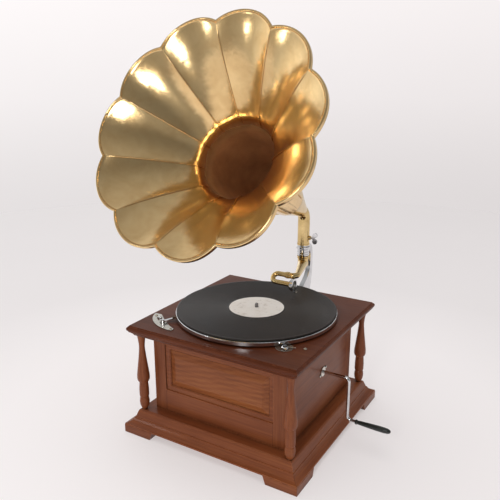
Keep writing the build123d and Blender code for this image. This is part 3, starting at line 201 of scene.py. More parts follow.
def board_colour(r, tones, grain, shift, tilt, figure, ring_share=0.05):
    """Solid wood figure: growth rings round a far, slightly tilted pith, with streaks and pores."""
    dark, mid, light = tones
    base = GRAIN_TURN[grain]
    turn = (base[0], base[1] + tilt, base[2] + tilt * 0.7)
    rings = r.node("ShaderNodeTexWave", wave_type="RINGS", rings_direction="X", wave_profile="SIN")
    r.feed(rings.inputs["Vector"], r.mapped(shift=shift, turn=turn))
    rings.inputs["Distortion"].default_value = figure
    for key, value in GROWTH.items():
        rings.inputs[key].default_value = value
    streaks = r.noise(r.mapped(scale=along(grain, *STREAK_STRETCH), shift=shift), 1.5, 6.0, 0.62)
    cloud = r.noise(r.mapped(scale=along(grain, *CLOUD_STRETCH), shift=shift), 1.0, 4.0, 0.55)
    ringed = r.math("MULTIPLY", rings.outputs["Fac"], ring_share)
    tone = r.math("ADD", ringed, r.math("MULTIPLY", streaks, STREAK_SHARE))
    tone = r.math("ADD", tone, r.math("MULTIPLY", cloud, CLOUD_SHARE - ring_share / 2))
    colour = r.ramp(tone, (0.24, dark), (0.54, mid), (0.86, light))
    speckle = r.noise(r.mapped(scale=along(grain, *PORE_STRETCH)), 1.0, 2.0, 0.5)
    pores = r.ramp(speckle, (0.30, 0.0), (0.42, 1.0))
    shade = r.mix(pores, dark, (1.0, 1.0, 1.0))
    return r.mix(PORE_DEPTH, colour, shade, "MULTIPLY"), pores


def wood(name, tones, grain, shift=(0.11, 0.23, 0.05), tilt=4.0, figure=3.0, join=None,
         gloss=0.30, ring_share=0.05, coat=0.12, shine=0.22):
    """Varnished wood with worn edges and painted shade that darkens its corners.

    join is None, "mitre" for a mitred frame, or (axis, place, share) for upright stiles past
    that place, their colour multiplied by share."""
    r = Recipe(name)
    colour, pores = board_colour(r, tones, grain, shift, tilt, figure, ring_share)
    if join:
        ax, ay = (r.math("ABSOLUTE", v) for v in r.axes()[:2])
        other = "Y" if join == "mitre" else "Z"
        back = tuple(-v for v in shift)
        second, second_pores = board_colour(r, tones, other, back, tilt, figure, ring_share)
        if join == "mitre":
            first, limit = ax, ay
        else:
            first, limit = (ax, ay)["XY".index(join[0])], join[1]
            second = r.mix(1.0, second, (join[2],) * 3, "MULTIPLY")
        side = r.math("GREATER_THAN", first, limit)
        colour = r.mix(side, colour, second)
        pores = r.mix(side, pores, second_pores)
        off = r.math("ABSOLUTE", r.math("SUBTRACT", first, limit))
        line = r.math("LESS_THAN", off, JOINT_HALF)
        colour = r.mix(r.math("MULTIPLY", line, 0.75), colour, JOINT_COLOUR)
    # painted shade: the colour is darkened by ambient occlusion in corners and recesses
    painted_corner_shade = r.ramp(r.crevice(CORNER_SHADE_REACH), (0.2, 0.22), (0.75, 1.0))
    colour = r.mix(1.0, colour, painted_corner_shade, "MULTIPLY")
    patch = r.ramp(r.noise(r.place, 60.0, 5.0, 0.65), (0.42, 0.0), (0.62, 1.0))
    worn = r.math("MULTIPLY", r.math("MULTIPLY", r.edges(WORN_EDGE), 6.0), patch, clamp=True)
    rubbed = tuple(min(1.0, v * WORN_LIGHTER) for v in tones[2])
    colour = r.mix(r.math("MULTIPLY", worn, 0.5), colour, rubbed)
    smear = r.noise(r.place, 16.0, 5.0, 0.6)
    rough = r.math("ADD", r.math("MULTIPLY", smear, 0.2), gloss)
    waves = r.math("MULTIPLY", r.noise(r.place, 30.0, 3.0, 0.5), 0.6)
    height = r.math("ADD", waves, r.math("MULTIPLY", pores, 0.2))
    r.set(Base_Color=colour, Roughness=rough, Normal=r.bump(height, VARNISH_BUMP))
    r.set(Coat_Weight=coat, Coat_Roughness=0.12, Coat_IOR=1.5, Specular_IOR_Level=shine)
    return r.material


# ---------------------------------------------------------------- metals
BRASS = ((0.84, 0.60, 0.30), (0.76, 0.515, 0.24))
ARM_BRASS = ((0.78, 0.58, 0.28), (0.62, 0.44, 0.19))
GEAR_BRASS = ((0.62, 0.46, 0.20), (0.42, 0.29, 0.11))
CHROME = ((0.80, 0.80, 0.81), (0.62, 0.62, 0.63))
NICKEL = ((0.70, 0.67, 0.61), (0.48, 0.45, 0.40))
STEEL = ((0.42, 0.42, 0.43), (0.22, 0.22, 0.23))
BLUED = ((0.16, 0.18, 0.26), (0.08, 0.09, 0.14))
LEAD = ((0.22, 0.23, 0.25), (0.12, 0.12, 0.13))
HAIRLINE_BUMP = 0.00002
SCRATCH = 0.35
# reach of the painted shade in the metal's corners and hollows
HOLLOW_SHADE_REACH = 0.006
BELL_RIPPLE = 0.00045
NECK_BROWN_END = 0.302
NECK_BROWN_FADE = 0.03


def polish(r, bright, dull, rough, swing, ripple):
    """Colour, roughness and normal of polished metal.

    It has tarnish, painted shade darkening its corners, hairlines and a soft ripple."""
    cloud = r.noise(r.place, 28.0, 5.0, 0.6, 0.4)
    colour = r.ramp(cloud, (0.38, dull), (0.62, bright))
    # painted shade: the colour is darkened by ambient occlusion in corners and hollows
    painted_hollow_shade = r.ramp(r.crevice(HOLLOW_SHADE_REACH), (0.2, 0.35), (0.75, 1.0))
    colour = r.mix(1.0, colour, painted_hollow_shade, "MULTIPLY")
    hair = r.noise(r.mapped(scale=(40, 900, 300), turn=(20, 30, 40)), 1.0, 3.0, 0.7)
    level = r.math("ADD", r.math("MULTIPLY", cloud, -swing), rough + swing * 0.6)
    lines = r.math("MULTIPLY", r.math("SUBTRACT", hair, 0.5), SCRATCH * 0.2)
    level = r.math("ADD", level, lines)
    normal = r.bump(hair, HAIRLINE_BUMP, SCRATCH)
    if ripple:
        normal = r.bump(r.noise(r.place, 42.0, 2.0, 0.5), ripple, 1.0, normal)
    return colour, level, normal


def metal(name, tones, rough, swing=0.12):
    """Polished or plated metal."""
    r = Recipe(name)
    colour, level, normal = polish(r, *tones, rough, swing, 0.0)
    r.set(Base_Color=colour, Metallic=1.0, Roughness=level, Normal=normal)
    return r.material


def horn_metal():
    """Polished brass of the bell, brown and unpolished down the inside of the neck."""
    r = Recipe("horn_brass")
    colour, level, normal = polish(r, *BRASS, 0.17, 0.1, BELL_RIPPLE)
    inner = r.node("ShaderNodeAttribute", attribute_name="inner").outputs["Fac"]
    part = r.node("ShaderNodeVectorMath", operation="DOT_PRODUCT")
    r.feed(part.inputs[0], r.place)
    part.inputs[1].default_value = tuple(HORN_AXIS)
    along_axis = r.math("SUBTRACT", part.outputs["Value"], float(HORN_CORNER @ HORN_AXIS))
    left = r.math("SUBTRACT", NECK_BROWN_END, along_axis)
    depth = r.math("MULTIPLY", left, 1 / NECK_BROWN_FADE, clamp=True)
    mask = r.math("MULTIPLY", inner, depth)
    cloud = r.noise(r.place, 22.0, 5.0, 0.6)
    brown = r.ramp(cloud, (0.3, (0.40, 0.185, 0.075)), (0.7, (0.62, 0.31, 0.135)))
    r.set(Base_Color=r.mix(mask, colour, brown))
    r.set(Metallic=r.math("SUBTRACT", 1.0, r.math("MULTIPLY", mask, 0.45)))
    r.set(Roughness=r.math("ADD", level, r.math("MULTIPLY", mask, 0.24)), Normal=normal)
    return r.material


# ---------------------------------------------------------------- other finishes
GROOVE_PITCH = 0.0007


def painted_grip():
    """Black-green painted turned wood, rubbed towards the ends."""
    r = Recipe("grip_paint")
    cloud = r.noise(r.place, 60.0, 5.0, 0.6)
    colour = r.ramp(cloud, (0.35, (0.004, 0.006, 0.005)), (0.7, (0.012, 0.018, 0.015)))
    worn = r.math("MULTIPLY", r.math("MULTIPLY", r.edges(0.001), 4.0), cloud, clamp=True)
    colour = r.mix(worn, colour, (0.16, 0.09, 0.05))
    r.set(Base_Color=colour, Roughness=r.math("ADD", r.math("MULTIPLY", cloud, 0.2), 0.2))
    r.set(Normal=r.bump(r.noise(r.mapped(scale=(8, 260, 260)), 1.0, 3.0), 0.0001), Coat_Weight=0.4)
    return r.material


def radial(r):
    """Distance from the spindle's axis, in metres."""
    x, y, _ = r.axes()
    return r.math("SQRT", r.math("ADD", r.math("MULTIPLY", x, x), r.math("MULTIPLY", y, y)))


def shellac():
    """Pressed record: fine grooves, dusty sheen and scuffs."""
    r = Recipe("shellac_record")
    dust = r.noise(r.place, 16.0, 6.0, 0.65)
    strokes = r.noise(r.mapped(scale=(18, 220, 1), turn=(0, 0, 35)), 1.0, 3.0, 0.7)
    scuff = r.ramp(strokes, (0.62, 0.0), (0.72, 1.0))
    colour = r.ramp(dust, (0.3, (0.014, 0.010, 0.009)), (0.75, (0.036, 0.028, 0.025)))
    colour = r.mix(r.math("MULTIPLY", scuff, 0.25), colour, (0.12, 0.10, 0.09))
    groove = r.math("SINE", r.math("MULTIPLY", radial(r), 2 * math.pi / GROOVE_PITCH))
    r.set(Base_Color=colour, Roughness=r.math("ADD", r.math("MULTIPLY", dust, 0.25), 0.28))
    r.set(Normal=r.bump(groove, 0.00006, 0.7), Specular_IOR_Level=0.24)
    return r.material


def paper():
    """Plain cream label paper, a little foxed and rubbed."""
    r = Recipe("label_paper")
    fibre = r.noise(r.place, 900.0, 4.0, 0.6)
    stain = r.noise(r.place, 45.0, 5.0, 0.65)
    colour = r.ramp(stain, (0.28, (0.62, 0.57, 0.51)), (0.42, (0.88, 0.84, 0.80)),
                    (0.8, (0.93, 0.90, 0.87)))
    spots = r.ramp(r.noise(r.place, 190.0, 2.0, 0.5), (0.68, 0.0), (0.74, 1.0))
    colour = r.mix(r.math("MULTIPLY", spots, 0.5), colour, (0.22, 0.17, 0.12))
    r.set(Base_Color=colour, Roughness=0.72, Normal=r.bump(fibre, 0.00004))
    return r.material


def felt():
    """Napped green-black felt."""
    r = Recipe("felt_nap")
    nap = r.noise(r.place, 700.0, 6.0, 0.75)
    colour = r.ramp(nap, (0.3, (0.010, 0.018, 0.011)), (0.7, (0.035, 0.060, 0.036)))
    r.set(Base_Color=colour, Roughness=0.95, Normal=r.bump(nap, 0.0004), Sheen_Weight=0.6)
    return r.material


def leather():
    """Rubbed brown leather."""
    r = Recipe("pad_leather")
    cell = r.node("ShaderNodeTexVoronoi", feature="DISTANCE_TO_EDGE")
    r.feed(cell.inputs["Vector"], r.place)
    cell.inputs["Scale"].default_value = 900.0
    tone = r.noise(r.place, 120.0, 4.0)
    colour = r.ramp(tone, (0.3, (0.045, 0.020, 0.009)), (0.7, (0.16, 0.075, 0.032)))
    r.set(Base_Color=colour, Roughness=0.6, Normal=r.bump(cell.outputs["Distance"], 0.0002))
    return r.material


def mica():
    """Clear mica with pale flakes."""
    r = Recipe("mica_sheet")
    flake = r.noise(r.place, 160.0, 5.0, 0.6)
    colour = r.ramp(flake, (0.4, (0.50, 0.46, 0.36)), (0.7, (0.85, 0.82, 0.72)))
    r.set(Base_Color=colour, Roughness=r.math("ADD", r.math("MULTIPLY", flake, 0.2), 0.08))
    r.set(Transmission_Weight=0.35, IOR=1.58, Normal=r.bump(flake, 0.00005))
    return r.material


def index_plate():
    """Dull brown-bronzed plate, chipped at its edge."""
    r = Recipe("index_paint")
    tone = r.noise(r.place, 140.0, 5.0, 0.6)
    colour = r.ramp(tone, (0.3, (0.060, 0.035, 0.022)), (0.75, (0.13, 0.085, 0.060)))
    chip = r.math("MULTIPLY", r.math("MULTIPLY", r.edges(0.0008), 6.0), tone, clamp=True)
    colour = r.mix(chip, colour, (0.45, 0.43, 0.38))
    r.set(Base_Color=colour, Roughness=0.45, Normal=r.bump(tone, 0.00008))
    return r.material


def raw_wood():
    """Plain pale wood out of sight under the case."""
    r = Recipe("raw_wood")
    tones = ((0.20, 0.115, 0.055), (0.36, 0.23, 0.12), (0.50, 0.35, 0.20))
    colour, pores = board_colour(r, tones, "Y", (0.3, 0.1, 0.2), 3.0, 5.0)
    r.set(Base_Color=colour, Roughness=0.75, Normal=r.bump(pores, 0.0001))
    return r.material


# ---------------------------------------------------------------- mesh kit
ARRIS = 0.0006
ARRIS_ANGLE = math.radians(35)
CURVE_STEPS = 24


def grid_object(name, points, wrap_rows=False):
    """Smooth mesh from a rows x columns x 3 grid of points that closes round its columns."""
    rows, columns, _ = points.shape
    index = np.arange(rows * columns).reshape(rows, columns)
    below = np.roll(index, -1, 0) if wrap_rows else index[1:]
    here = index if wrap_rows else index[:-1]
    faces = np.stack([here, np.roll(here, -1, 1), np.roll(below, -1, 1), below], -1)
    mesh = bpy.data.meshes.new(name)
    mesh.from_pydata(points.reshape(-1, 3).tolist(), [], faces.reshape(-1, 4).tolist())
    mesh.polygons.foreach_set("use_smooth", [True] * len(mesh.polygons))
    made = bpy.data.objects.new(name, mesh)
    bpy.context.scene.collection.objects.link(made)
    return made


def revolved(profile, columns):
    """Grid of points of a (radius, height) profile in metres, turned about the spindle."""
    turn = np.linspace(0, 2 * math.pi, columns, endpoint=False)
    rows = np.array(profile)
    return np.stack([rows[:, :1] * np.cos(turn), rows[:, :1] * np.sin(turn),
                     np.broadcast_to(rows[:, 1:], (len(rows), columns))], -1)


def joined(name, parts):
    """Several objects as one."""
    base = parts[0]
    with bpy.context.temp_override(active_object=base, selected_editable_objects=parts):
        bpy.ops.object.join()
    base.name = name
    base.data.name = name
    return base


def finish_piece(piece, body, material, slot, *stands_for):
    """Material, body and the CAD nodes that a new piece stands for; slot is not used."""
    piece.data.materials.clear()
    piece.data.materials.append(material)
    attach(piece, body)
    if stands_for:
        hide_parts(*stands_for)
    return piece


def soften(node):
    """Small rounded arrises on a CAD node, which keeps its own mesh."""
    made = NODES[node].modifiers.new("arris", "BEVEL")
    made.width = ARRIS
    made.segments = 2
    made.limit_method = "ANGLE"
    made.angle_limit = ARRIS_ANGLE
    made.use_clamp_overlap = True
    made.harden_normals = True


def run_along(points):
    """Length of run from the first point to each point."""
    return np.concatenate([[0], np.cumsum(np.linalg.norm(np.diff(points, axis=0), axis=1))])


def smooth_curve(points, count):
    """Even points along a centripetal Catmull-Rom curve."""
    p = np.array(points, float)
    ends = np.vstack([2 * p[0] - p[1], p, 2 * p[-1] - p[-2]])
    dense = []
    for a, b, c, d in zip(ends, ends[1:], ends[2:], ends[3:]):
        knots = [0.0]
        for q0, q1 in ((a, b), (b, c), (c, d)):
            knots.append(knots[-1] + math.sqrt(np.linalg.norm(q1 - q0)))
        t0, t1, t2, t3 = knots
        for t in np.linspace(t1, t2, CURVE_STEPS, endpoint=False):
            a1 = (t1 - t) / (t1 - t0) * a + (t - t0) / (t1 - t0) * b
            a2 = (t2 - t) / (t2 - t1) * b + (t - t1) / (t2 - t1) * c
            a3 = (t3 - t) / (t3 - t2) * c + (t - t2) / (t3 - t2) * d
            b1 = (t2 - t) / (t2 - t0) * a1 + (t - t0) / (t2 - t0) * a2
            b2 = (t3 - t) / (t3 - t1) * a2 + (t - t1) / (t3 - t1) * a3
            dense.append((t2 - t) / (t2 - t1) * b1 + (t - t1) / (t2 - t1) * b2)
    dense.append(p[-1])
    dense = np.array(dense)
    run = run_along(dense)
    even = np.linspace(0, run[-1], count)
    return np.stack([np.interp(even, run, dense[:, k]) for k in range(p.shape[1])], 1)


# ---------------------------------------------------------------- horn
HORN_PITCH = math.radians(28.1)
HORN_CORNER = np.array([0.0, 0.197, 0.3737])
HORN_AXIS = np.array([0.0, -math.cos(HORN_PITCH), math.sin(HORN_PITCH)])
HORN_UP = np.array([0.0, math.sin(HORN_PITCH), math.cos(HORN_PITCH)])
HORN_SIDE = np.array([1.0, 0.0, 0.0])
PETALS = 11
NOTCH_R = 191.5
CROWN_R = 203.5
NOTCH_PHASE = math.radians(98.4)
WALL = 0.8
BELL_CURVE = [(90, 34.0), (120, 39.5), (160, 46.0), (210, 53.0), (260, 61.0), (295, 68.5),
              (306, 72.5), (318, 81.5), (340, 104.0), (362, 128.0), (384, 153.5), (402, 177.5),
              (414, 197.0), (418, 206.0)]
CURVE_POINTS = 600
TANGENT_STEP = 0.5
PETAL_START = 298.0
PETAL_COLUMNS = 24
SEAM_RISE = 8.0
BEAD_R = 2.1
BEAD_ARC = np.radians(np.linspace(158, -40, 14))
BELL_ROWS = 110
BAND = 6.0
BAND_STEPS = ((0.33, 0.0), (0.66, 0.1), (0.92, 0.15), (1.0, 0.45), (0.95, 0.85), (0.6, 0.9),
              (0.3, 0.9))
SEAM_ROWS = 90
SEAM_ARC = np.radians(np.linspace(-20, 200, 9))
SEAM_FADE = 14.0
SEAM_TIP = 0.06


def horn_point(s, r, turn):
    """Row-frame metres for millimetres along the horn, out from its axis, and an angle round it."""
    side = (r * np.cos(turn))[..., None] * HORN_SIDE + (r * np.sin(turn))[..., None] * HORN_UP
    return HORN_CORNER + (s[..., None] * HORN_AXIS + side) * MM


def edge_radius(q):
    """Radius of the free edge at share q of a petal: one arc from notch to notch."""
    half = math.pi / PETALS
    centre = (NOTCH_R**2 - CROWN_R**2) / (2 * (NOTCH_R * math.cos(half) - CROWN_R))
    swing = (q - 0.5) * 2 * half
    return centre * np.cos(swing) + np.sqrt((CROWN_R - centre) ** 2 - (centre * np.sin(swing)) ** 2)


PROFILE = smooth_curve(BELL_CURVE, CURVE_POINTS)
PROFILE_RUN = run_along(PROFILE)


def on_profile(run):
    """Point (along, out) of the bell's middle surface at a length of run."""
    return np.stack([np.interp(run, PROFILE_RUN, PROFILE[:, k]) for k in (0, 1)], -1)


def meridian(run):
    """Point and unit tangent (along, out) of the bell's middle surface at a length of run."""
    tangent = on_profile(run + TANGENT_STEP) - on_profile(run - TANGENT_STEP)
    return on_profile(run), tangent / np.linalg.norm(tangent, axis=-1, keepdims=True)


def seam_rise(run):
    """How far the seams stand in front of the petals' middles."""
    start = np.interp(PETAL_START, PROFILE[:, 0], PROFILE_RUN)
    share = np.clip((run - start) / (PROFILE_RUN[-1] - start), 0, 1)
    return SEAM_RISE * (1.45 * share - 0.45 * share * share)


def bell_sheet(rows, q, lift):
    """Rows from the neck to just inside the free edge, lift mm in front of the middle surface."""
    limit = np.interp(edge_radius(q) - BEAD_R, PROFILE[:, 1], PROFILE_RUN)
    run = rows[:, None] * limit[None, :]
    point, tangent = meridian(run)
    inward = np.stack([tangent[..., 1], -tangent[..., 0]], -1)
    rise = seam_rise(run) * (1 - 4 * q * (1 - q))[None, :]
    return point + inward * (lift + rise)[..., None], tangent, inward


def bell_section(q):
    """Closed meridian section for each column: inside, bead, turned-back band, outside."""
    rows = np.linspace(0, 1, BELL_ROWS)
    front, tangent, inward = bell_sheet(rows, q, WALL / 2)
    back, _, _ = bell_sheet(rows, q, -WALL / 2)
    tip = front[-1] - inward[-1] * WALL / 2
    out = tangent[-1]
    into = inward[-1]
    parts = [front[:-1]]
    for angle in BEAD_ARC:
        parts.append((tip + BEAD_R * (math.cos(angle) * out + math.sin(angle) * into))[None])
    rim = parts[-1][0]
    backward = np.array([-1.0, 0.0])
    inner = np.array([0.0, -1.0])
    for back_share, step in BAND_STEPS:
        parts.append((rim + backward * BAND * back_share + inner * step)[None])
    parts.append((tip - out * (BEAD_R + 0.6) - into * (WALL / 2 + 0.2))[None])
    parts.append(back[:-2][::-1])
    return np.concatenate(parts)


def horn_bell():
    """The eleven-petal bell as one closed sheet."""
    share = (1 - np.cos(np.linspace(0, math.pi, PETAL_COLUMNS + 1)[:-1])) / 2
    q = np.tile(share, PETALS)
    turn = NOTCH_PHASE - (np.repeat(np.arange(PETALS), len(share)) + q) * 2 * math.pi / PETALS
    section = bell_section(q)
    turns = np.broadcast_to(turn, section.shape[:2])
    points = horn_point(section[..., 0], section[..., 1], turns)
    bell = grid_object("horn_bell", points, wrap_rows=True)
    inside = np.zeros(points.shape[:2])
    inside[:BELL_ROWS] = 1.0
    inner = bell.data.attributes.new("inner", "FLOAT", "POINT")
    inner.data.foreach_set("value", inside.ravel())
    return bell


def seam(turn, low, high, lift, half, tall):
    """Raised strip along one seam: lift is +1 inside the bell and -1 outside."""
    limit = np.interp(NOTCH_R - BEAD_R, PROFILE[:, 1], PROFILE_RUN)
    run = np.linspace(np.interp(low, PROFILE[:, 0], PROFILE_RUN), limit * high, SEAM_ROWS)
    point, tangent = meridian(run)
    inward = np.stack([tangent[:, 1], -tangent[:, 0]], -1)
    fade = np.clip(np.minimum(run - run[0], run[-1] - run) / SEAM_FADE, SEAM_TIP, 1.0)
    rows = []
    for angle in SEAM_ARC:
        height = lift * (WALL / 2 + max(math.sin(angle), -0.3) * tall * fade)
        middle = point + inward * (height + seam_rise(run))[:, None]
        side = math.cos(angle) * half * np.sqrt(fade)
        rows.append(horn_point(middle[:, 0], middle[:, 1], turn + side / middle[:, 1]))
    return grid_object("seam", np.stack(rows, 1))


def horn_seams(name, low, high, lift, half, tall):
    """All eleven seams as one piece."""
    turns = [NOTCH_PHASE - k * 2 * math.pi / PETALS for k in range(PETALS)]
    return joined(name, [seam(turn, low, high, lift, half, tall) for turn in turns])


def build_horn(brass):
    """Bell, inner seam beads and outer standing seams."""
    finish_piece(horn_bell(), "horn", brass, "horn_brass", "horn_petals")
    inside = horn_seams("horn_seams_inside", low=288, high=0.99, lift=1, half=1.25, tall=1.5)
    outside = horn_seams("horn_seams_outside", low=96, high=0.97, lift=-1, half=0.8, tall=2.6)
    finish_piece(inside, "horn", brass, "horn_brass")
    finish_piece(outside, "horn", brass, "horn_brass")


# ---------------------------------------------------------------- record and mat
RING_COLUMNS = 256
RECORD_HOLE_R = 0.00365
LABEL_LAND_R = 0.0535
RUN_OUT_FROM = 0.0545
RUN_OUT_DEEP = 0.0004
GROOVES_FROM = 0.0585
GROOVES_SHORT_OF_EDGE = 0.0045
GROOVE_ROWS = 84
GROOVE_HALF = 0.00025
GROOVE_LOW = 0.0003
GROOVE_HIGH = 0.00016
BAND_LOW = 0.0002
EDGE_ROUND = 0.0008
MAT_HOLE_R = 0.0052
MAT_EDGE = 0.001


def ring_object(name, profile):
    """Surface of revolution about the spindle from a closed (radius, height) list in metres."""
    return grid_object(name, revolved(profile, RING_COLUMNS), wrap_rows=True)


def record(material):
    """Record with a raised edge, grooved bands and a sunk run-out ring."""
    low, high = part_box("record_disc")
    outer, top, bottom = high.x, high.z, low.z
    start = GROOVES_FROM
    end = outer - GROOVES_SHORT_OF_EDGE
    profile = [(RECORD_HOLE_R, bottom), (RECORD_HOLE_R, top), (LABEL_LAND_R, top),
               (RUN_OUT_FROM, top - RUN_OUT_DEEP), (start - 0.001, top - RUN_OUT_DEEP),
               (start, top - BAND_LOW)]
    for k in range(GROOVE_ROWS):
        r = start + (end - start) * (k + 0.5) / GROOVE_ROWS
        profile += [(r - GROOVE_HALF, top - GROOVE_LOW), (r + GROOVE_HALF, top - GROOVE_HIGH)]
    profile += [(end, top - BAND_LOW), (end + EDGE_ROUND, top), (outer - EDGE_ROUND, top),
                (outer - 0.0002, top - 0.0005), (outer, (top + bottom) / 2),
                (outer - 0.0002, bottom + 0.0005), (outer - EDGE_ROUND, bottom)]
    piece = ring_object("record", profile)
    finish_piece(piece, "turntable", material, "shellac", "record_disc")


def mat(material):
    """Felt disc with a soft cut edge."""
    low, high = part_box("felt_mat")
    r = high.x
    profile = [(MAT_HOLE_R, low.z), (MAT_HOLE_R, high.z), (0.04, high.z), (0.09, high.z),
               (r - MAT_EDGE, high.z), (r - 0.0002, high.z - 0.0003), (r, (low.z + high.z) / 2),
               (r - 0.0002, low.z + 0.0003), (r - MAT_EDGE, low.z), (0.09, low.z), (0.04, low.z)]
    disc = ring_object("felt_disc", profile)
    piece = finish_piece(disc, "turntable", material, "felt", "felt_mat")


# ---------------------------------------------------------------- finishes for the CAD nodes
CORNERS = ["front_left", "front_right", "back_left", "back_right"]
STILE_PAST_FIELD = 0.0035


def dress(material, *names):
    """Give CAD nodes a material."""
    for name in names:
        mesh = NODES[name].data
        mesh.materials.clear()
        mesh.materials.append(material)


def dress_case():
    """Wooden pieces, each cut from its own board."""
    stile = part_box("front_field")[1].x + STILE_PAST_FIELD
    feet = ["foot_" + corner for corner in CORNERS]
    dress(wood("plinth_wood", MAHOGANY, "X", join="mitre"), "plinth")
    dress(wood("frame_wood", MAHOGANY, "X", (0.31, 0.12, 0.21), 2.0, join=("X", stile, 0.95)),
          "front_frame")
    dress(wood("field_wood", FIELD, "X", (0.02, 0.10, 0.11), 9.0, 7.0, gloss=0.26,
               ring_share=0.1), "front_field")
    dress(wood("right_wood", MAHOGANY, "Y", (0.17, 0.33, 0.02), 5.0, join=("Y", stile, 1.1)),
          "side_board_right")
    dress(wood("left_wood", MAHOGANY, "Y", (0.41, 0.21, 0.13), 6.0, join=("Y", stile, 1.1)),
          "side_board_left")
    dress(wood("back_wood", MAHOGANY, "X", (0.27, 0.51, 0.16), 4.0), "back_board")
    dress(wood("top_wood", DARK_TOP, "X", (0.13, 0.42, 0.31), 3.0, coat=0.03, shine=0.14),
          "top_board")
    for k, corner in enumerate(CORNERS):
        shift = (0.1 * k, 0.07 * k + 0.05, 0.13)
        dress(wood("column_wood_" + corner, MAHOGANY, "Z", shift, 3.0), "column_" + corner)
    dress(wood("foot_wood", MAHOGANY, "X", (0.22, 0.18, 0.07), join="mitre"), *feet)
    dress(raw_wood(), "bottom_board")
    for name in ["top_board", "plinth", "front_frame", "front_field"] + feet:
        soften(name)


def dress_metal():
    """Plated, brass and steel pieces."""
    dress(metal("arm_brass", ARM_BRASS, 0.13), "horn_elbow", "tone_arm", "gooseneck")
    dress(metal("bright_plate", CHROME, 0.08, swing=0.08), "back_bracket", "crank_rod",
          "turntable", "thumb_screw", "sound_box_case", "needle_bar", "brake_lever")
    dress(metal("pointer_plate", CHROME, 0.12), "speed_pointer")
    dress(metal("nickel_plate", NICKEL, 0.2), "bracket_screws", "crank_bush", "crank_screws",
          "brake_plate", "brake_screws", "top_screw", "sound_box_back", "needle_screw", "needle")
    dress(metal("machined_steel", STEEL, 0.3), "motor_plate_upper", "motor_plate_lower",
          "motor_pillars", "winding_arbor", "winding_shaft", "winding_bearing", "spindle",
          "governor_shaft", "governor_bearings", "speed_rocker", "counter_shaft")
    dress(metal("gear_brass", GEAR_BRASS, 0.28), "spring_barrel")
    dress(metal("blue_spring", BLUED, 0.25), "mainspring", "governor_springs")
    dress(metal("lead", LEAD, 0.5), "governor_weights")


# ---------------------------------------------------------------- stage, light, camera
STAGE_SPAN = 2.5
STAGE_COLUMNS = 96
STAGE_TINT = (1.0, 0.958, 0.958)
# painted shade: the stage paper is darkened towards this side, the right of the view
STAGE_RIGHT = (0.858, 0.514, 0.0)
STAGE_RIGHT_SHADE = (0.90, 0.89, 0.89)
FLOOR_R = 2.2
# painted light and shade: floor greys by distance from the middle, a touch lighter round 0.5 m and
# darker round 0.85 m
FLOOR_PAINTED_GREYS = ((0.0, 1.0), (0.5, 1.02), (0.85, 0.95), (2.2, 1.0))
FLOOR_GLOW = 0.45
COVE_R = 1.2
WALL_TOP = 3.0
# painted light: the backdrop glows, darker towards the floor and brighter higher up
WALL_GLOW_BY_HEIGHT = ((0.0, 0.808), (0.12, 0.835), (0.5, 0.93), (1.1, 1.02))
WORLD_RAMPS = (((0, 0, 1), ((-0.1, 0.74), (0.12, 0.70), (0.34, 0.44), (0.6, 0.44), (1.0, 0.56))),
               ((0, 1, 0), ((-1.0, 0.66), (-0.2, 0.95), (1.0, 1.0))),
               ((-0.94, 0.31, 0.10), ((-1.0, 0.5), (0.0, 0.8), (0.55, 1.0), (0.95, 2.0))))
WORLD_STRENGTH = 8.0
SENSOR_MM = 36.0
LENS_MM = 43.42
CAMERA_AZIMUTH = math.radians(30.91)
CAMERA_ELEVATION = math.radians(16.17)
CAMERA_PLACE = (0.5382, -0.92325, 0.6501)


def paper_material(name, stops, axis, glow):
    """Stage paper: grey stops along one value, partly glowing so that shadows stay light."""
    r = Recipe(name)
    value = radial(r) if axis == "radius" else r.axes()[2]
    greys = [(at / STAGE_SPAN, grey) for at, grey in stops]
    level = r.ramp(r.math("MULTIPLY", value, 1 / STAGE_SPAN), *greys)
    shade = r.mix(1.0, level, STAGE_TINT, "MULTIPLY")
    # painted shade: the stage colour grows darker towards the right
    across = r.node("ShaderNodeVectorMath", operation="DOT_PRODUCT")
    r.feed(across.inputs[0], r.place)
    across.inputs[1].default_value = STAGE_RIGHT
    side = r.math("ADD", r.math("MULTIPLY", across.outputs["Value"], 0.25), 0.5, clamp=True)
    shade = r.mix(1.0, shade, r.mix(side, (1.0, 1.0, 1.0), STAGE_RIGHT_SHADE), "MULTIPLY")
    grain = r.mix(r.noise(r.place, 3.0, 3.0), (0.985, 0.985, 0.985), (1.0, 1.0, 1.0))
    shade = r.mix(1.0, shade, grain, "MULTIPLY")
    r.set(Base_Color=r.mix(1.0, shade, (1 - glow,) * 3, "MULTIPLY"))
    r.set(Roughness=0.95, Specular_IOR_Level=0.0)
    r.set(Emission_Color=shade, Emission_Strength=glow)
    return r.material


def swept(name, rows, material):
    """Round stage piece from (radius, height) rows."""
    made = grid_object(name, revolved(rows, STAGE_COLUMNS))
    made.data.materials.append(material)
    return made


def stage():
    """Round pale floor, and round it a glowing backdrop that only the camera sees, its painted
    light darker near the floor.
    """
    flat = [(0.001, 0.0)] + [(r, 0.0) for r in np.linspace(0.1, FLOOR_R, 12)]
    swept("studio_floor", flat, paper_material("floor_paper", FLOOR_PAINTED_GREYS, "radius", FLOOR_GLOW))
    wall = [(FLOOR_R + COVE_R * math.sin(a), COVE_R * (1 - math.cos(a)))
            for a in np.radians(np.linspace(0, 90, 16))]
    wall.append((FLOOR_R + COVE_R, WALL_TOP))
    back = swept("studio_backdrop", wall, paper_material("wall_paper", WALL_GLOW_BY_HEIGHT, "height", 1.0))
    back.visible_diffuse = False
    back.visible_glossy = False
    back.visible_transmission = False
    back.visible_shadow = False


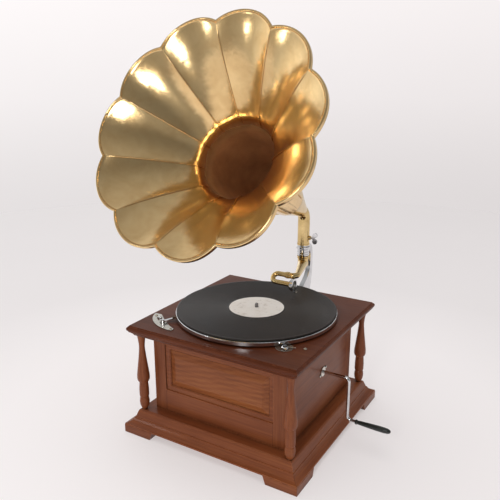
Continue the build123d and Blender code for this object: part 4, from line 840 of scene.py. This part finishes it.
def area_light(name, place, aim, size, power, tall=None, seen=True):
    """Soft square or upright light at place, pointing at aim; polish mirrors it if seen."""
    data = bpy.data.lights.new(name, "AREA")
    data.shape = "RECTANGLE"
    data.size = size
    data.size_y = tall or size
    data.energy = power
    made = bpy.data.objects.new(name, data)
    bpy.context.scene.collection.objects.link(made)
    made.location = place
    made.rotation_mode = "QUATERNION"
    made.rotation_quaternion = (Vector(aim) - Vector(place)).to_track_quat("-Z", "Y")
    made.visible_glossy = seen
    return made


def studio_world():
    """Pale room: bright round the horizon and brightest on the left, dimmer in front."""
    world = bpy.data.worlds.new("studio")
    world.use_nodes = True
    bpy.context.scene.world = world
    tree = world.node_tree
    place = tree.nodes.new("ShaderNodeTexCoord").outputs["Generated"]
    levels = []
    for towards, stops in WORLD_RAMPS:
        dot = tree.nodes.new("ShaderNodeVectorMath")
        dot.operation = "DOT_PRODUCT"
        dot.inputs[1].default_value = towards
        tree.links.new(place, dot.inputs[0])
        half = tree.nodes.new("ShaderNodeMath")
        half.operation = "MULTIPLY_ADD"
        half.inputs[1].default_value = 0.5
        half.inputs[2].default_value = 0.5
        tree.links.new(dot.outputs["Value"], half.inputs[0])
        ramp = tree.nodes.new("ShaderNodeValToRGB")
        tree.links.new(half.outputs[0], ramp.inputs[0])
        fill_ramp(ramp.color_ramp, [((at + 1) / 2, grey / 2) for at, grey in stops])
        levels.append(ramp.outputs[0])
    total = levels[0]
    for level in levels[1:]:
        both = tree.nodes.new("ShaderNodeMix")
        both.data_type = "RGBA"
        both.blend_type = "MULTIPLY"
        both.inputs[0].default_value = 1.0
        tree.links.new(total, both.inputs[6])
        tree.links.new(level, both.inputs[7])
        total = both.outputs[2]
    back = tree.nodes["Background"]
    tree.links.new(total, back.inputs["Color"])
    back.inputs["Strength"].default_value = WORLD_STRENGTH


def light():
    """Even overhead light, a tall lamp by the camera and a small one on the left."""
    studio_world()
    area_light("ceiling", (0, 0, 3.2), (0, 0, 0), size=3.6, power=48, seen=False)
    area_light("key", (0.36, -1.68, 0.96), (-0.12, -0.1, 0.6), size=0.3, power=9, tall=0.6)
    area_light("lamp", (-0.95, -1.2, 0.6), (0, -0.1, 0.7), size=0.16, power=0.7)


def camera():
    """Three-quarter view from the front right, a little above the top board."""
    data = bpy.data.cameras.new("view")
    data.sensor_width = SENSOR_MM
    data.lens = LENS_MM
    made = bpy.data.objects.new("view", data)
    bpy.context.scene.collection.objects.link(made)
    azimuth, level = CAMERA_AZIMUTH, math.cos(CAMERA_ELEVATION)
    back = Vector((math.sin(azimuth) * level, -math.cos(azimuth) * level,
                   math.sin(CAMERA_ELEVATION)))
    right = Vector((math.cos(azimuth), math.sin(azimuth), 0.0))
    up = back.cross(right)
    made.matrix_world = Matrix((right, up, back)).transposed().to_4x4()
    made.location = CAMERA_PLACE
    bpy.context.scene.camera = made


# ---------------------------------------------------------------- put together
bpy.context.scene.view_settings.view_transform = "Standard"
camera()
light()
stage()
build_horn(horn_metal())
record(shellac())
mat(felt())
dress(paper(), "record_label")
dress(painted_grip(), "crank_grip")
dress(leather(), "brake_pad")
dress(mica(), "diaphragm")
dress(index_plate(), "speed_plate")
dress_case()
dress_metal()
